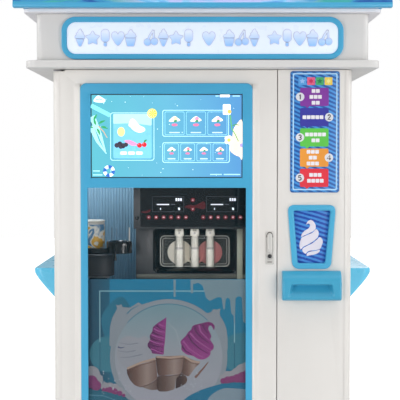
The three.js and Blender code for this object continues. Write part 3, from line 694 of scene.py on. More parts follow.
def make_side_panels():
    """The two side walls, each with two columns of screws."""
    dome = [(5, 0.0), (5, 0.5), (4, 1.3), (2.2, 1.7), (1.5, 0.9), (0, 0.8)]
    points, faces = lathe(dome, 0, 0, 20)
    for hand, side in (("left", -1), ("right", 1)):
        node = hand + "_side_panel"
        softened(node, WHITE, width=1.0)
        b = Box(node)
        outer = b.x0 if side < 0 else b.x1
        heads = []
        for z in (170, 420, 690, 1080, 1400, 1760):
            for y in (b.y1 - 30, b.y0 + 24):
                heads.append(([(outer + side * h, y + p, z + q) for p, q, h in points], faces))
        piece(hand + "_side_screws", heads, STEEL, "kiosk")


def make_back_panel():
    """The back sheet with its pressed louvres, a round fan guard and the power inlet."""
    b, fan = Box("back_panel"), Box("cooling_fan")
    front, back = b.y1 - 11, b.y1 - 8
    holes, louvres = [circle(fan.x, fan.z, 103, 64)], []
    for z in range(1385, 1590, 34):
        holes.append(rounded(-260, 260, z - 5, z + 5, 4))
        hood = [(back, z + 9), (back + 7, z + 3), (back + 8, z - 3), (back + 6, z - 3)]
        hood += [(back + 5.4, z + 2), (back - 0.4, z + 7)]
        louvres.append(slab([hood], -262, 262, SIDE, bevel=0.8, back_bevel=0.8))
    sheet = front_slab([b.outline(3), *holes], front, back, back_bevel=0.8, bevel=0.8)
    steel = []
    for radius in (18, 36, 54, 72, 90, 105):
        steel.append(tube([(x, back + 3, z) for x, z in arc(fan.x, fan.z, radius, 0, 360, 60)], 1.6))
    for k in range(8):
        ends = [polar(fan.x, fan.z, reach, 45 * k) for reach in (8, 110)]
        steel.append(tube([(x, back + 1.2, z) for x, z in ends], 1.8))
    steel += [screw(*polar(fan.x, fan.z, 114, 45 + 90 * k), back, 5, 1) for k in range(4)]
    for x in (b.x0 + 22, -330, 0, 330, b.x1 - 22):
        for z in (b.z0 + 24, 560, 980, b.z1 - 24):
            if abs(x) > 400 or not 400 < z < 1200:
                steel.append(screw(x, z, back, 5, 1))
    inlet = [(front_slab([rounded(-610, -530, 170, 240, 5)], back - 1, b.y1 - 3, back_bevel=1.5), DARK)]
    socket = bordered(-598, -542, 184, 226, 4, 6, 3)
    inlet.append((front_slab(socket, b.y1 - 4, b.y1 - 0.2, back_bevel=1), GLOSS_BLACK))
    for x in (-577, -570, -563):
        inlet.append((brick(x - 1.5, x + 1.5, b.y1 - 4, b.y1 - 1, 201, 210, 0.4), STEEL_BRIGHT))
    finished("back_panel", [sheet, *louvres, *[(shape, STEEL) for shape in steel], *inlet], WHITE)


def hatch_opening():
    """The opening behind the pick-up frame, narrower at the bottom."""
    return cornered([(437, 942.3), (568.5, 942.3), (592.2, 1190.5), (416.5, 1190.5)], 12)


def make_column_panel():
    """A folded sheet whose right edge is a large round corner."""
    b = Box("column_panel")
    fold, sheet = 33, 3
    outline = rounded(b.x0, b.x1 - fold, b.z0, b.z1, 1.0, 2)
    face = front_slab([outline, hatch_opening()], b.y0, b.y0 + sheet, bevel=0.6)
    x, y = b.x1 - fold, b.y0 + fold
    outer, inner = arc(x, y, fold, -90, 0, 20), arc(x, y, fold - sheet, 0, -90, 20)
    plan = [(x - 1.5, b.y0), *outer, (b.x1, b.y1), (b.x1 - sheet, b.y1), *inner, (x - 1.5, b.y0 + sheet)]
    corner = slab([plan], b.z0, b.z1, bevel=0.6, back_bevel=0.6)
    left = brick(b.x0, b.x0 + sheet, b.y0 + 1.2, b.y1, b.z0, b.z1, 0.6)
    finished("column_panel", [face, corner, left], WHITE)


def make_liner():
    """The ribbed blue wall behind the cup dropper: rounded vertical flutes."""
    b = Box("ribbed_liner")
    flutes, steps, depth = 22, 10, 4.5
    face = []
    for i in range(flutes * steps + 1):
        rise = abs(math.cos(math.pi * i / steps)) ** 0.7
        face.append((b.x0 + i * b.width / flutes / steps, b.y0 + depth * (1 - rise)))
    finished("ribbed_liner", [slab([face + [(b.x1, b.y1), (b.x0, b.y1)]], b.z0, b.z1)], RIBBED, angle=50)


# ---- the canopy ----


def canopy_ring(b, corner, half_width, half_depth, bevel, steps=4):
    """A flat ring as deep as the node, with round corners and a hole of the half width and depth."""
    hole = rounded(-half_width, half_width, -half_depth, half_depth, 20)
    outline = rounded(b.x0, b.x1, b.y0, b.y1, corner, 10)
    return slab([outline, hole], b.z0, b.z1, bevel=bevel, back_bevel=bevel, steps=steps)


def make_canopy():
    """The cornice, the moulding under the roof, and the sign's housing between them with its two seams."""
    finished("cornice", [canopy_ring(Box("cornice"), 50, 676, 513, 3)], WHITE_SIGN)
    finished("roof_moulding", [canopy_ring(Box("roof_moulding"), 45, 676, 513, 2)], WHITE_TRIM)
    b = Box("sign_housing")
    parts = [canopy_ring(b, 30, b.x1 - 3, b.y1 - 3, 0.8, 3)]
    for z in (b.z0 + 3, b.z1 - 4):
        seam = brick(b.x0 - 0.3, b.x1 + 0.3, b.y0 - 0.35, b.y0 + 0.2, z, z + 0.8, 0.2)
        parts.append((seam, ink(168, 166, 164)))
    finished("sign_housing", parts, WHITE_SIGN)


def make_roof():
    """The roof: a board along the front edge and a lower box behind it, both blue under a printed crown."""
    b = Box("roof_cap")
    low, top, split = b.z0, b.z1, b.z0 + 21
    front, back = b.y0, b.y0 + 40
    band = [(back, low), (front + 8, low), (front + 3.5, low + 1), (front + 1, low + 3.5), (front, low + 8)]
    band += [(front + 0.2, low + 14), (front + 1, low + 19), (front + 2.6, split), (back, split)]
    crown = [(back, split), (front + 2.6, split), (front + 4, split + 10)]
    crown += [*curve((front + 6.4, top - 36), (front + 12.4, top), (front + 30, top), 8), (back, top)]
    art = roof_watercolour()
    board, face = (slab([line], b.x0, b.x1, SIDE, 1.2, 1.2) for line in (band, crown))

    def ring(inward, height):
        plan = rounded(inward - 810, 810 - inward, front + 33 + inward, b.y1 - inward, 44 - inward * 0.4, 12)
        return [(x, y, low + height) for x, y in plan]

    skirt = loft([ring(i, h) for i, h in ((14, 0), (7, 0.6), (2.5, 3), (0.6, 6), (0, 9), (0, 14), (0.6, 21))])
    slope = ((0.6, 21), (1.6, 32), (3.4, 48), (6, 60), (11, 70), (18, 77), (30, b.height))
    lid = loft([ring(i, h) for i, h in slope])
    box = [(skirt[0], skirt[1][:-1]), ((lid[0], lid[1][:-2] + lid[1][-1:]), art)]
    piece("roof_finished", [board, (face, art), *box], BLUE, "kiosk", ["roof_cap"])


def sign_marks():
    """The sign's six ice-cream signs, each a few loops about its own middle."""
    swirl = [(-13, 2), (-14, 9), (-10, 12), (-11, 17), (-6, 20), (-5, 25), (2, 30)]
    swirl += [(5, 24), (9, 20), (9, 15), (13, 11), (14, 5), (11, 1)]
    scoop = [(-16, 5), (-15, 12), (-8, 15), (-5, 23), (2, 28), (7, 21), (13, 16), (16, 5), (0, 3)]
    heart = [(0, -20), (-13, -5), (-19, 8), (-16, 19), (-6, 21), (0, 14)]
    heart += [(6, 21), (16, 19), (19, 8), (13, -5)]
    stems = [stroke([(-9, -4), (-3, 10), (8, 26)], 4), stroke([(10, -2), (9, 12), (8, 25)], 4)]
    return [
        [blob(swirl, 4), cornered([(-12, -1), (12, -1), (3, -22), (-3, -22)], 2, 3)],
        [cornered(star(0, 2, 23, 5, 0.55), 3, 3)],
        [rounded(-12, 12, -9, 29, 11), rounded(-4, 4, -22, -11, 3, 3)],
        [blob(heart, 4)],
        [cornered([(-16, 2), (16, 2), (10, -22), (-10, -22)], 3, 3), blob(scoop, 4)],
        [*stems, circle(-10, -10, 10.5, 20), circle(11, -8, 10.5, 20)],
    ]


def make_sign():
    """The lit sign: a blue frame round a glowing face with a row of raised ice-cream signs."""
    b, d = Box("sign_frame"), Box("sign_diffuser")
    opening = b.outline(40, 14, inward=24)
    finished("sign_frame", [front_slab([b.outline(64, 14), opening], b.y0, b.y1, bevel=3.5, steps=4)], BLUE)
    face = d.plate(39.5, 12, bevel=1)
    piece("sign_face", [face], SIGN_GLOW, "kiosk", ["sign_diffuser"])
    marks = sign_marks()
    groups, pitch, space = (5, 4, 1, 3, 5), 57, 34
    x = (pitch - sum(groups) * pitch - (len(groups) - 1) * space) / 2
    signs, rims, count = [], [], 0
    for size in groups:
        for _ in range(size):
            for loop in marks[count % len(marks)]:
                loop = moved(loop, x, d.z - 4, 1.45)
                signs.append(front_slab([loop], d.y0 - 4.5, d.y0, bevel=1.1))
                rim = inset(anticlockwise(loop), -2.6)
                rims.append((front_slab([rim], d.y0 - 1.5, d.y0), ink(204, 208, 226)))
            x += pitch
            count += 1
        x += space
    piece("sign_icons", signs + rims, SIGN_ICON, "kiosk")


# ---- fittings on the outside ----


def make_shelves():
    """Two side shelves: flat, with a short lip, a hollow curve back to the wall and rounded ends."""
    corner, lip, steps = 40, 24, 12
    for hand, side in (("left", -1), ("right", 1)):
        node = "side_shelf_" + hand
        b = Box(node)
        root, reach = (b.x1 if side < 0 else b.x0), b.width
        profile = [(0, 0), (0.3, 0), (0.62, 0), (reach - 7, 0), (reach - 3, -0.9), (reach - 0.9, -3)]
        profile += [(reach, -7), (reach, -lip + 3)]
        profile += curve((reach - 0.8, -lip), (reach - 14, -58), (9, -b.height), 10)
        profile.append((0, -b.height))
        ends = [corner * (1 - math.cos(math.pi / 2 * k / steps)) for k in range(steps + 1)]
        loops = []
        for y in [b.y0 + end for end in ends] + [b.y1 - end for end in reversed(ends)]:
            edge = min(y - b.y0, b.y1 - y, corner)
            tip = reach - corner + math.sqrt(max(0, corner**2 - (corner - edge) ** 2))
            loops.append([(root + side * min(p, max(tip, 0.5) * p / reach), y, b.z1 + q) for p, q in profile])
        finished(node, [loft(loops)], BLUE_SHELF, angle=40)


def tray_depth(x, z, b):
    """How far the spoon tray's face stands out from the panel at a place on it."""
    chin, brow, scoop = 16, 38, 40
    up = (z - b.z0) / b.height
    depth = b.depth
    if up < 0.1:
        depth -= chin * (1 - up / 0.1) ** 2
    elif up > 0.62:
        depth -= brow * ((up - 0.62) / 0.38) ** 2.2
    edge, round_edge = min(x - b.x0, b.x1 - x), 9
    if edge < round_edge:
        depth -= round_edge - math.sqrt(round_edge**2 - (round_edge - edge) ** 2)
    t = (z - b.z0 - 14) / 62
    if 0 < t < 1:
        side = max(0.0, min(1.0, (112 - 16 * t - abs(x - b.x + 2)) / 22))
        ceiling = 1.0 if t < 0.86 else ((1 - t) / 0.14) ** 0.5
        depth -= scoop * side * side * (3 - 2 * side) * min(1.0, t / 0.86) * ceiling
    return depth


def make_spoon_tray():
    """The spoon tray: a bulging body with a scooped opening, deepest under its upper lip."""
    b = Box("spoon_tray")
    columns, rows = 108, 66
    xs = [b.x0 + b.width * i / columns for i in range(columns + 1)]
    zs = [b.z0 + b.height * j / rows for j in range(rows + 1)]
    points = [(x, b.y1 - tray_depth(x, z, b), z) for z in zs for x in xs]
    wide = columns + 1
    faces = []
    for low in range(0, rows * wide, wide):
        faces += [(low + i, low + i + 1, low + wide + i + 1, low + wide + i) for i in range(columns)]
    rim = [*range(wide), *range(2 * wide - 1, len(points), wide)]
    rim += [*range(len(points) - 2, rows * wide - 1, -1), *range((rows - 1) * wide, 0, -wide)]
    start, size = len(points), len(rim)
    points += [(points[i][0], b.y1, points[i][2]) for i in rim]
    faces += [(rim[i], start + i, start + (i + 1) % size, rim[(i + 1) % size]) for i in range(size)]
    faces.append(tuple(range(start, start + size)))
    finished("spoon_tray", [(points, faces)], BLUE_TRAY, angle=60)


def swirl_bands():
    """The hatch's soft-serve sign, in four bands, about its own middle."""
    top = [(-22, 66), (-14, 82), (0, 88), (13, 80), (22, 65), (23, 49), (18, 40), (4, 30), (-18, 20)]
    top += [(-40, 9), (-46, 8), (-41, 24), (-28, 37), (-11, 48), (-4, 60), (-7, 69), (-14, 71)]
    second = [(-41, 5), (-18, 16), (8, 27), (24, 43), (36, 34), (37, 16), (30, 2), (12, -14), (-16, -31)]
    second += [(-36, -41), (-48, -53), (-54, -38), (-52, -18), (-46, -2)]
    third = [(-38, -48), (-20, -37), (8, -23), (30, -5), (42, 6), (54, -3), (57, -20), (51, -37), (45, -49)]
    third += [(24, -56), (-4, -59), (-18, -66), (-24, -74), (-36, -66), (-40, -57)]
    fourth = [(-16, -70), (0, -63), (22, -60), (43, -54), (40, -66), (22, -76), (-4, -81), (-19, -83)]
    return [blob(points, 4) for points in (top, second, third, fourth)]


def make_hatch():
    """The pick-up frame with its sleeve, and the striped hatch behind it with a soft-serve sign."""
    f, h = Box("pickup_frame"), Box("pickup_hatch")
    ring = [(f.x0 + 21, f.z0), (f.x1 - 19.5, f.z0), (f.x1 + 2.6, f.z1), (f.x0 - 2.9, f.z1)]
    opening = hatch_opening()
    lip = front_slab([cornered(ring, 34, 10), opening], f.y0, f.y1, bevel=3, steps=4)
    sleeve = front_slab([opening, inset(opening, 2.5)], f.y0 + 3, Box("column_panel").y0 + 13.5)
    finished("pickup_frame", [lip, sleeve], BLUE_LIGHT)
    stripes = striped("hatch_stripes", srgb(28, 78, 172), srgb(70, 144, 220), 10, -17)
    parts = [h.plate(4, bevel=0.8, back_bevel=0.8)]
    for band in swirl_bands():
        mark = front_slab([moved(band, 501, h.z - 8, 0.97)], h.y0 - 1.2, h.y0, bevel=0.5)
        parts.append((mark, ink(232, 226, 236)))
    finished("pickup_hatch", parts, stripes, "pickup_hatch")


# The numbers 1 to 5, each a few lines about its own middle.
DIGITS = (
    [[(-4, 7), (1, 12), (1, -12)]],
    [[(-6, 6), (-3, 11), (3, 11), (6, 6), (4, 1), (-6, -11), (7, -11)]],
    [
        [(-6, 8), (-2, 12), (4, 11), (6, 6), (2, 1), (-1, 0)],
        [(-1, 0), (4, -1), (6, -6), (3, -11), (-3, -12), (-6, -8)],
    ],
    [[(4, -12), (4, 12), (-9, -5), (9, -5)]],
    [[(6, 11), (-5, 11), (-6, 1), (1, 3), (6, -1), (6, -8), (0, -12), (-6, -9)]],
)


def make_instruction_plate():
    """A striped plate with five coloured steps, numbered 1 to 5, and small squares where words would be."""
    b = Box("instruction_plate")
    stripes = striped("plate_stripes", srgb(30, 88, 164), srgb(68, 148, 220), 9, -24)
    finished("instruction_plate", [b.plate(12, bevel=1.0)], stripes)
    art = Print()
    art.draw(ink(176, 216, 244), *bordered(b.x0 + 11, b.x1 - 10, b.z0 + 11, b.z1 - 9, 7, 6, 5))
    art.draw(ink(28, 92, 156), *bordered(b.x0 + 1, b.x1 - 1, b.z0 + 1, b.z1 - 1, 11, 3, 9))
    grounds = ((84, 158, 222), (228, 96, 134), (70, 172, 104), (240, 208, 84))
    stars = ((150, 190, 236), (198, 34, 84), (26, 122, 76), (246, 232, 150))
    for k, (ground, mark) in enumerate(zip(grounds, stars)):
        x = b.x0 + 37 + 40 * k
        art.draw(ink(*ground), rounded(x, x + 36, b.z1 - 64, b.z1 - 28, 3))
        art.draw(ink(*mark), star(x + 18, b.z1 - 46, 13, 5 + k % 2, 0.5))
    steps = (
        ((128, 48, 156), (2, 3, 2)),
        ((50, 50, 158), (5,)),
        ((92, 196, 72), (5, 2)),
        ((234, 152, 52), (3, 2, 3)),
        ((226, 44, 62), (3, 4)),
    )
    pitch, half = 92.8, 42
    for k, (tone, words) in enumerate(steps):
        z = b.z1 - 118 - pitch * k
        art.draw(ink(*tone), rounded(b.x0 + 45, b.x1 - 50, z - half, z + half, 8))
        tab = [(b.x0 + 66, z - half + 1), (b.x0 + 90, z - half + 1), (b.x0 + 78, z - half - 9)]
        art.draw(ink(*tone), tab)
        on_right = k % 2
        middle = b.x - 9 if on_right else b.x + 3
        for j, count in enumerate(words):
            up = z + (len(words) - 1) * 13.5 - 27 * j
            for i in range(count):
                x = middle + (i - (count - 1) / 2) * 19.5
                art.draw(ink(236, 232, 238), rounded(x - 8.6, x + 8.6, up - 8.5, up + 8.5, 2.5))
        disc = b.x1 - 48 if on_right else b.x0 + 45
        art.draw(ink(222, 224, 230), circle(disc, z, 19.5))
        for line in DIGITS[k]:
            art.draw(ink(64, 50, 60), stroke(moved(line, disc, z, 0.95), 5))
    art.finish("instruction_art", b.y0, "kiosk")


# ---- the front door ----


def make_door():
    """The door pan: a flat face with a window well, a large round left edge and two sloping flanks."""
    b, s = Box("main_door"), Box("door_surround")
    face, back, bend, fold = -525, b.y1, b.x0 + 33, 33
    notch_x, notch_z = -632, 1828
    outline = [(bend, b.z0), (b.x1, b.z0), (b.x1, b.z1), (notch_x, b.z1), (notch_x, notch_z), (bend, notch_z)]
    well = rounded(-545, 215, 195, 1748, 2)
    plate = front_slab([cornered(outline, 2.0, 3), well], face, back, bevel=1.6, back_bevel=1.0)
    edge = [(b.x0, back), *arc(bend, face + fold, fold, 180, 270, 20), (bend + 2, face), (bend + 2, back)]
    parts = [plate, slab([edge], b.z0, notch_z, bevel=1.6, back_bevel=1.0)]
    steps, crest_height = 14, 15.5
    for foot, crest in ((-592, s.x0 - 0.5), (263, s.x1 + 0.5)):
        loops = []
        for z, rise in flank_levels(s.z0, s.z1):
            loop = [(crest, face + 1, z), (foot, face + 1, z)]
            for k in range(steps + 1):
                t = k / steps
                height = crest_height * rise * (0.5 - 0.5 * math.cos(math.pi * t)) ** 0.8
                loop.append((foot + (crest - foot) * t, face - 0.05 - height, z))
            loops.append(loop)
        parts.append(loft(loops))
    finished("main_door", parts, WHITE, "front_door")


def flank_levels(low, high):
    """Heights along a flank with its share of the full rise, which fades out at the top and bottom."""
    fade = 34
    turns = [(k / 8, math.pi / 2 * k / 8) for k in range(9)]
    levels = [(low + fade * t, math.sin(turn)) for t, turn in turns]
    levels += [(low + fade + (high - low - 2 * fade) * k / 7, 1.0) for k in range(1, 7)]
    return levels + [(high - fade + fade * t, math.cos(turn)) for t, turn in turns]


def make_surround():
    """The blue surround with its two openings, and the pane of the lower one."""
    b, g = Box("door_surround"), Box("window_glass")
    top = rounded(-512.4, 183.3, 1339, 1722.8, 2, 2)
    low = rounded(-528, 199.5, 215, 1293, 4, 3)
    frame_face = front_slab([b.outline(28, 10), top, low], b.y0, b.y1, bevel=2.6, steps=4)
    finished("door_surround", [frame_face], BLUE, "front_door")
    pane = g.plate(3, bevel=0.6, back_bevel=0.6)
    piece("window_pane", [pane], GLASS, "front_door", ["window_glass"])
    softened("door_gasket", RUBBER, "front_door", 0.6)


def make_touch_screen():
    """The touch screen: a dark housing with vents and screws at the back, and a lit page in front."""
    t = Box("touch_screen")
    housing = [brick(-535, 205, -524.6, t.y1, t.z0, t.z1, 3)]
    housing.append(front_slab([rounded(-511.4, 182.3, 1340, 1721.8, 2, 3)], t.y0 + 3, -524.7, bevel=0.6))
    for x in (-470, -165, 140):
        housing += [(screw(x, z, t.y1, 5, 1), STEEL) for z in (t.z0 + 22, t.z1 - 22)]
    for z in range(1440, 1609, 24):
        housing.append((brick(-330, 0, t.y1 - 0.5, t.y1 + 0.6, z, z + 9, 0.4), GLOSS_BLACK))
    piece("touch_screen_housing", housing, DARK, "front_door", ["touch_screen"])
    face = t.y0 + 2.4
    page = front_slab([rounded(-508, 179, 1343, 1718.5, 1.5, 2)], face, face + 1)
    piece("touch_screen_face", [page], SCREEN, "front_door")
    make_screen_art(face, -511, 1340)


def make_screen_art(front, left, low):
    """The screen's page: cards of ice cream, fruit, leaves and a swim ring, and bars in place of words."""
    art = Print()

    def draw(tone, *loops):
        art.draw(ink(*tone, 0.58), *[moved(loop, left, low) for loop in loops])

    draw_shore(draw)
    draw_sundae(draw)
    edge = (186, 238, 248)
    draw(edge, *bordered(327, 632, 188, 310, 10, 3, 8))
    for k, tone in enumerate(((250, 242, 190), (238, 150, 190), (250, 190, 210))):
        draw_card(draw, 338 + 98 * k, 428 + 98 * k, 196, 302, 1.0, tone)
    draw(edge, *bordered(327, 636, 68, 162, 10, 3, 8))
    for k, tone in enumerate(((250, 246, 230), (238, 130, 160), (244, 248, 250), (240, 160, 170))):
        draw_card(draw, 336 + 74 * k, 402 + 74 * k, 76, 156, 0.74, tone)
    for k in range(8):
        start, stop = 45 * k + 8, 45 * k + 53
        ring = arc(82, 30, 27, start, stop, 6) + arc(82, 30, 12, stop, start, 6)
        draw((46, 104, 190) if k % 2 else (238, 244, 252), ring)
    draw((226, 244, 250), blob([(12, 350), (20, 366), (34, 376), (50, 368), (66, 356), (60, 344), (30, 344)]))
    draw((140, 214, 190), stroke([(22, 356), (40, 360), (54, 354)], 4))
    draw_garden(draw)
    bars = ((648, 682, 371), (570, 586, 371), (546, 600, 12), (608, 684, 12), (8, 40, 28), (8, 52, 10))
    for x0, x1, z in bars:
        draw((170, 224, 236), rounded(x0, x1, z, z + 5, 2))
    art.finish("touch_screen_art", front, "front_door")


def draw_shore(draw):
    """Sparkles all over the page, and pale stems and leaves at its left."""
    sparkle = random.Random(4)
    for _ in range(46):
        x, z, r = sparkle.uniform(14, 680), sparkle.uniform(8, 372), sparkle.choice((1.2, 1.6, 2.4))
        draw((206, 242, 250), circle(x, z, r, 8))
    draw((132, 220, 226), stroke([(0, 330), (88, 285)], 20))
    for points, width in (([(4, 280), (40, 200), (66, 120)], 30), ([(0, 235), (30, 165), (70, 110)], 24)):
        draw((170, 228, 226), stroke(points, width, 4))
    leaf = blob([(0, -3), (14, -5), (34, 0), (14, 5)], 4)
    leaves = ((10, 262, 58), (34, 250, 20), (46, 236, -20), (20, 240, 100), (30, 226, -70), (8, 226, 150))
    for x, z, turn in leaves:
        draw((48, 158, 96), moved(leaf, x, z, 1.0, turn))
    draw((210, 170, 130), stroke([(34, 236), (58, 210), (74, 182)], 5, 3))


def draw_sundae(draw):
    """The large card: a sundae with berries and cherries, three keys below it and a sun at its corner."""
    draw((186, 238, 248), *bordered(88, 290, 78, 298, 12, 3, 10))
    draw((120, 196, 230), rounded(102, 278, 88, 292, 8))
    draw((176, 220, 234), cornered([(102, 246), (190, 250), (278, 238), (278, 292), (102, 292)], 6))
    cream = [(172, 240), (180, 262), (192, 270), (206, 258), (222, 240), (244, 228), (246, 214), (222, 206)]
    draw((248, 240, 206), blob(cream + [(196, 216), (180, 232)]))
    draw((252, 236, 150), circle(138, 210, 17, 24, 1.25))
    draw((255, 250, 226), circle(196, 250, 8, 16))
    for x, z, r in ((118, 148, 11), (132, 155, 11), (146, 146, 12), (160, 151, 10), (136, 142, 10)):
        draw((58, 52, 66), circle(x, z, r, 18))
    draw((238, 150, 196), blob([(152, 168), (176, 172), (204, 160), (212, 150), (190, 146), (170, 156)]))
    for x, z in ((222, 148), (244, 151)):
        draw((222, 30, 44), circle(x, z, 11, 22))
        draw((255, 150, 150), circle(x - 4, z + 4, 2.4, 12))
    draw((60, 150, 60), moved(blob([(0, -3), (10, -5), (22, 0), (10, 5)], 4), 240, 163, 0.9, 35))
    for x in (134, 170, 206):
        draw((232, 244, 250), rounded(x, x + 30, 105, 120, 4))
    draw((250, 232, 90), circle(280, 294, 22))
    draw((255, 250, 190), circle(280, 294, 18))
    for k in range(8):
        draw((252, 224, 60), moved([(0, 0), (15, -4.5), (16.5, 0), (15, 4.5)], 282, 294, 1.0, 45 * k))


def draw_card(draw, x0, x1, z0, z1, size, tone):
    """A small product card: a plate of ice cream, a splash of colour and a bar."""
    x, z = (x0 + x1) / 2, z0 + (z1 - z0) * 0.62
    place = lambda points: moved(points, x, z, size)
    draw((150, 220, 240), *bordered(x0, x1, z0, z1, 6, 2, 5))
    scoop = [(-26, -4), (-18, 8), (0, 20), (14, 12), (26, 2), (16, -4), (-8, -6)]
    draw((246, 246, 224), place(blob(scoop, 4)))
    draw(tone, place(circle(4, 8, 9, 16)))
    draw((70, 150, 110), place(blob([(-4, -4), (4, 4), (12, -2), (2, -9)], 4)))
    draw((226, 120, 160), place(circle(0, -20, 14, 18, 0.45)))
    draw((204, 236, 246), rounded(x - 24 * size, x + 24 * size, z0 + 8, z0 + 13, 2))


def draw_garden(draw):
    """The page's right edge: a pale fruit, stems, a flower and small tabs."""
    fruit = [(694, 256), (668, 246), (652, 218), (648, 186), (640, 160), (636, 128), (654, 108)]
    draw((248, 226, 206), blob(fruit + [(680, 96), (694, 92)], 4))
    draw((180, 160, 214), circle(690, 148, 9, 18))
    draw((96, 176, 110), stroke([(638, 286), (642, 250), (646, 222), (662, 196), (676, 166)], 6, 4))
    draw((70, 150, 96), stroke([(650, 238), (664, 244), (678, 240)], 6, 3))
    draw((246, 248, 252), rounded(604, 640, 288, 336, 5))
    draw((250, 196, 90), circle(634, 302, 9, 18))
    for k in range(5):
        draw((252, 246, 230), circle(*polar(632, 172, 13, 72 * k), 9, 14))
    draw((250, 214, 90), circle(632, 172, 8, 16))
    draw((246, 250, 252), rounded(590, 636, 368, 380, 3))


# ---- the printed film on the glass ----


def make_film():
    """The film on the lower glass: cones and cups on a pale disc, under dripping icing and above waves."""
    g = Box("window_glass")
    left, right, low, high = -541, 211, g.z0 + 0.5, 870
    art = Print()
    tones = (srgb(30, 76, 102), srgb(28, 120, 150), srgb(14, 122, 160))
    art.draw(fading("film_ground", "Z", 250, high, *tones), rounded(left, right, low, high, 1, 1))
    shade_tones = (srgb(18, 60, 84), srgb(24, 92, 118))
    art.draw(fading("film_shade", "X", left, -430, *shade_tones), rounded(left, -430, low, high, 1, 1))
    light = fading("film_light", "X", -455, -330, srgb(34, 112, 138), srgb(26, 102, 128))
    art.draw(light, blob([(-468, 690), (-380, 790), (-330, 700), (-420, 560)]))
    art.draw(ink(56, 120, 138), circle(-440, 520, 84, 36))
    art.draw(ink(56, 120, 138), circle(176, 528, 92, 36))
    for bar in ((-478, -473, 577, 817), (-478, 10, 812, 817), (146, 151, 574, 789)):
        art.draw(ink(128, 172, 182), rounded(*bar, 1, 1))
    for bar in ((-477, -474, low + 4, 577), (147, 150, low + 4, 574)):
        art.draw(ink(20, 82, 108), rounded(*bar, 1, 1))
    draw_icing(art, high)
    draw_disc(art)
    draw_left_scoop(art)
    draw_cups(art)
    draw_middle_swirl(art)
    draw_right_swirl(art)
    art.lines(ink(122, 84, 72), 4, 11, [(27, 484), (5, 456), (-34, 411)])
    draw_waves(art, left, low)
    art.finish("window_film", g.y1 + 1.6, "front_door", 0.01)


def draw_icing(art, high):
    """Icing that runs down from the film's top edge, with two long drops."""
    lilac = ink(118, 142, 152)
    for x, bottom, width in ((-129, 792, 11), (-49, 810, 13)):
        art.draw(lilac, stroke([(x, high - 2), (x, bottom)], width, width * 0.8))
        art.draw(lilac, circle(x, bottom, width * 0.5, 14))
    icing = [(-56, 868), (-40, 846), (-20, 854), (0, 840), (9, 812), (16, 784), (34, 768), (54, 779)]
    icing += [(74, 787), (88, 784), (93, 752), (97, 728), (103, 729), (108, 778), (118, 784), (128, 774)]
    icing += [(133, 712), (139, 703), (144, 704), (146, 660), (150, 660), (153, 780), (166, 792), (182, 786)]
    icing += [(188, 672), (200, 664), (208, 668), (208, 868)]
    art.draw(lilac, cornered(icing, 4, 4))


def draw_disc(art):
    """The pale disc with its rim, which splashes out at both sides."""
    x, z, radius = -157, 505, 272
    pale, teal = ink(134, 142, 150), ink(24, 110, 136)
    splash_left = [(-432, 560), (-429, 646), (-418, 691), (-400, 723), (-394, 735), (-402, 752), (-387, 747)]
    splash_left += [(-376, 755), (-371, 740), (-336, 737), (-312, 752), (-296, 763), (-281, 751), (-253, 761)]
    splash_left += [(-230, 752), (-280, 640), (-380, 540)]
    splash_right = [(-22, 731), (5, 714), (26, 712), (42, 718), (49, 731), (66, 728), (85, 734), (79, 716)]
    splash_right += [(82, 699), (100, 669), (111, 638), (116, 600), (117, 540), (60, 540), (-20, 680)]
    art.draw(pale, circle(x, z, radius, 90))
    art.draw(pale, cornered(splash_left, 5, 4))
    art.draw(pale, cornered(splash_right, 5, 4))
    art.lines(teal, 5, 2, [(-350, 709), (-328, 731), (-296, 748)])
    tones = (srgb(160, 160, 170), srgb(150, 156, 164), srgb(112, 148, 158))
    art.draw(fading("film_disc", "Z", 300, 780, *tones), circle(x, z, radius - 22, 90))
    art.draw(teal, stroke(arc(x, z, radius - 22, 44, 140, 24), 2.8))


def draw_waves(art, left, low):
    """Berries along the shore, two waves with foam, and spray over them."""
    puffs = ((-516, 392, 30), (-494, 374, 24), (-452, 352, 15), (-430, 354, 14), (-408, 346, 15))
    puffs += ((-384, 338, 12), (-366, 328, 8), (96, 396, 13), (116, 400, 17), (136, 404, 16))
    puffs += ((160, 408, 20), (186, 412, 26), (206, 420, 26))
    for x, z, r in puffs:
        art.draw(ink(148, 146, 152), circle(x, z + r * 1.1, r * 1.35, 24))
    for x, z, r in puffs:
        art.draw(ink(126, 52, 104), circle(x, z, r, 24))
    wave_left = [(left + 3, 360), (-500, 352), (-448, 346), (-385, 326), (-326, 302), (-270, 262)]
    wave_left += [(-236, low + 6), (left + 3, low + 6)]
    wave_right = [(208, 388), (147, 387), (88, 382), (40, 369), (-9, 353), (-58, 329), (-96, 300)]
    wave_right += [(-140, 258), (-160, low + 6), (208, low + 6)]
    foam = [(208, 356), (147, 361), (103, 363), (69, 350), (40, 330), (20, 304), (30, 272)]
    foam += [(90, 256), (208, 250)]
    art.draw(ink(34, 98, 120), cornered(wave_left, 12))
    art.draw(ink(22, 108, 142), cornered(wave_right, 12))
    art.draw(ink(126, 144, 156), cornered(foam, 12))
    art.lines(ink(72, 128, 146), 7, 3, [(left + 6, 330), (-460, 326), (-390, 300), (-330, 262)])
    spray = random.Random(11)
    for _ in range(46):
        x = spray.choice((spray.uniform(-470, -330), spray.uniform(-100, 20)))
        art.draw(ink(176, 182, 190), circle(x, spray.uniform(334, 440), spray.uniform(1.2, 3.2), 10))


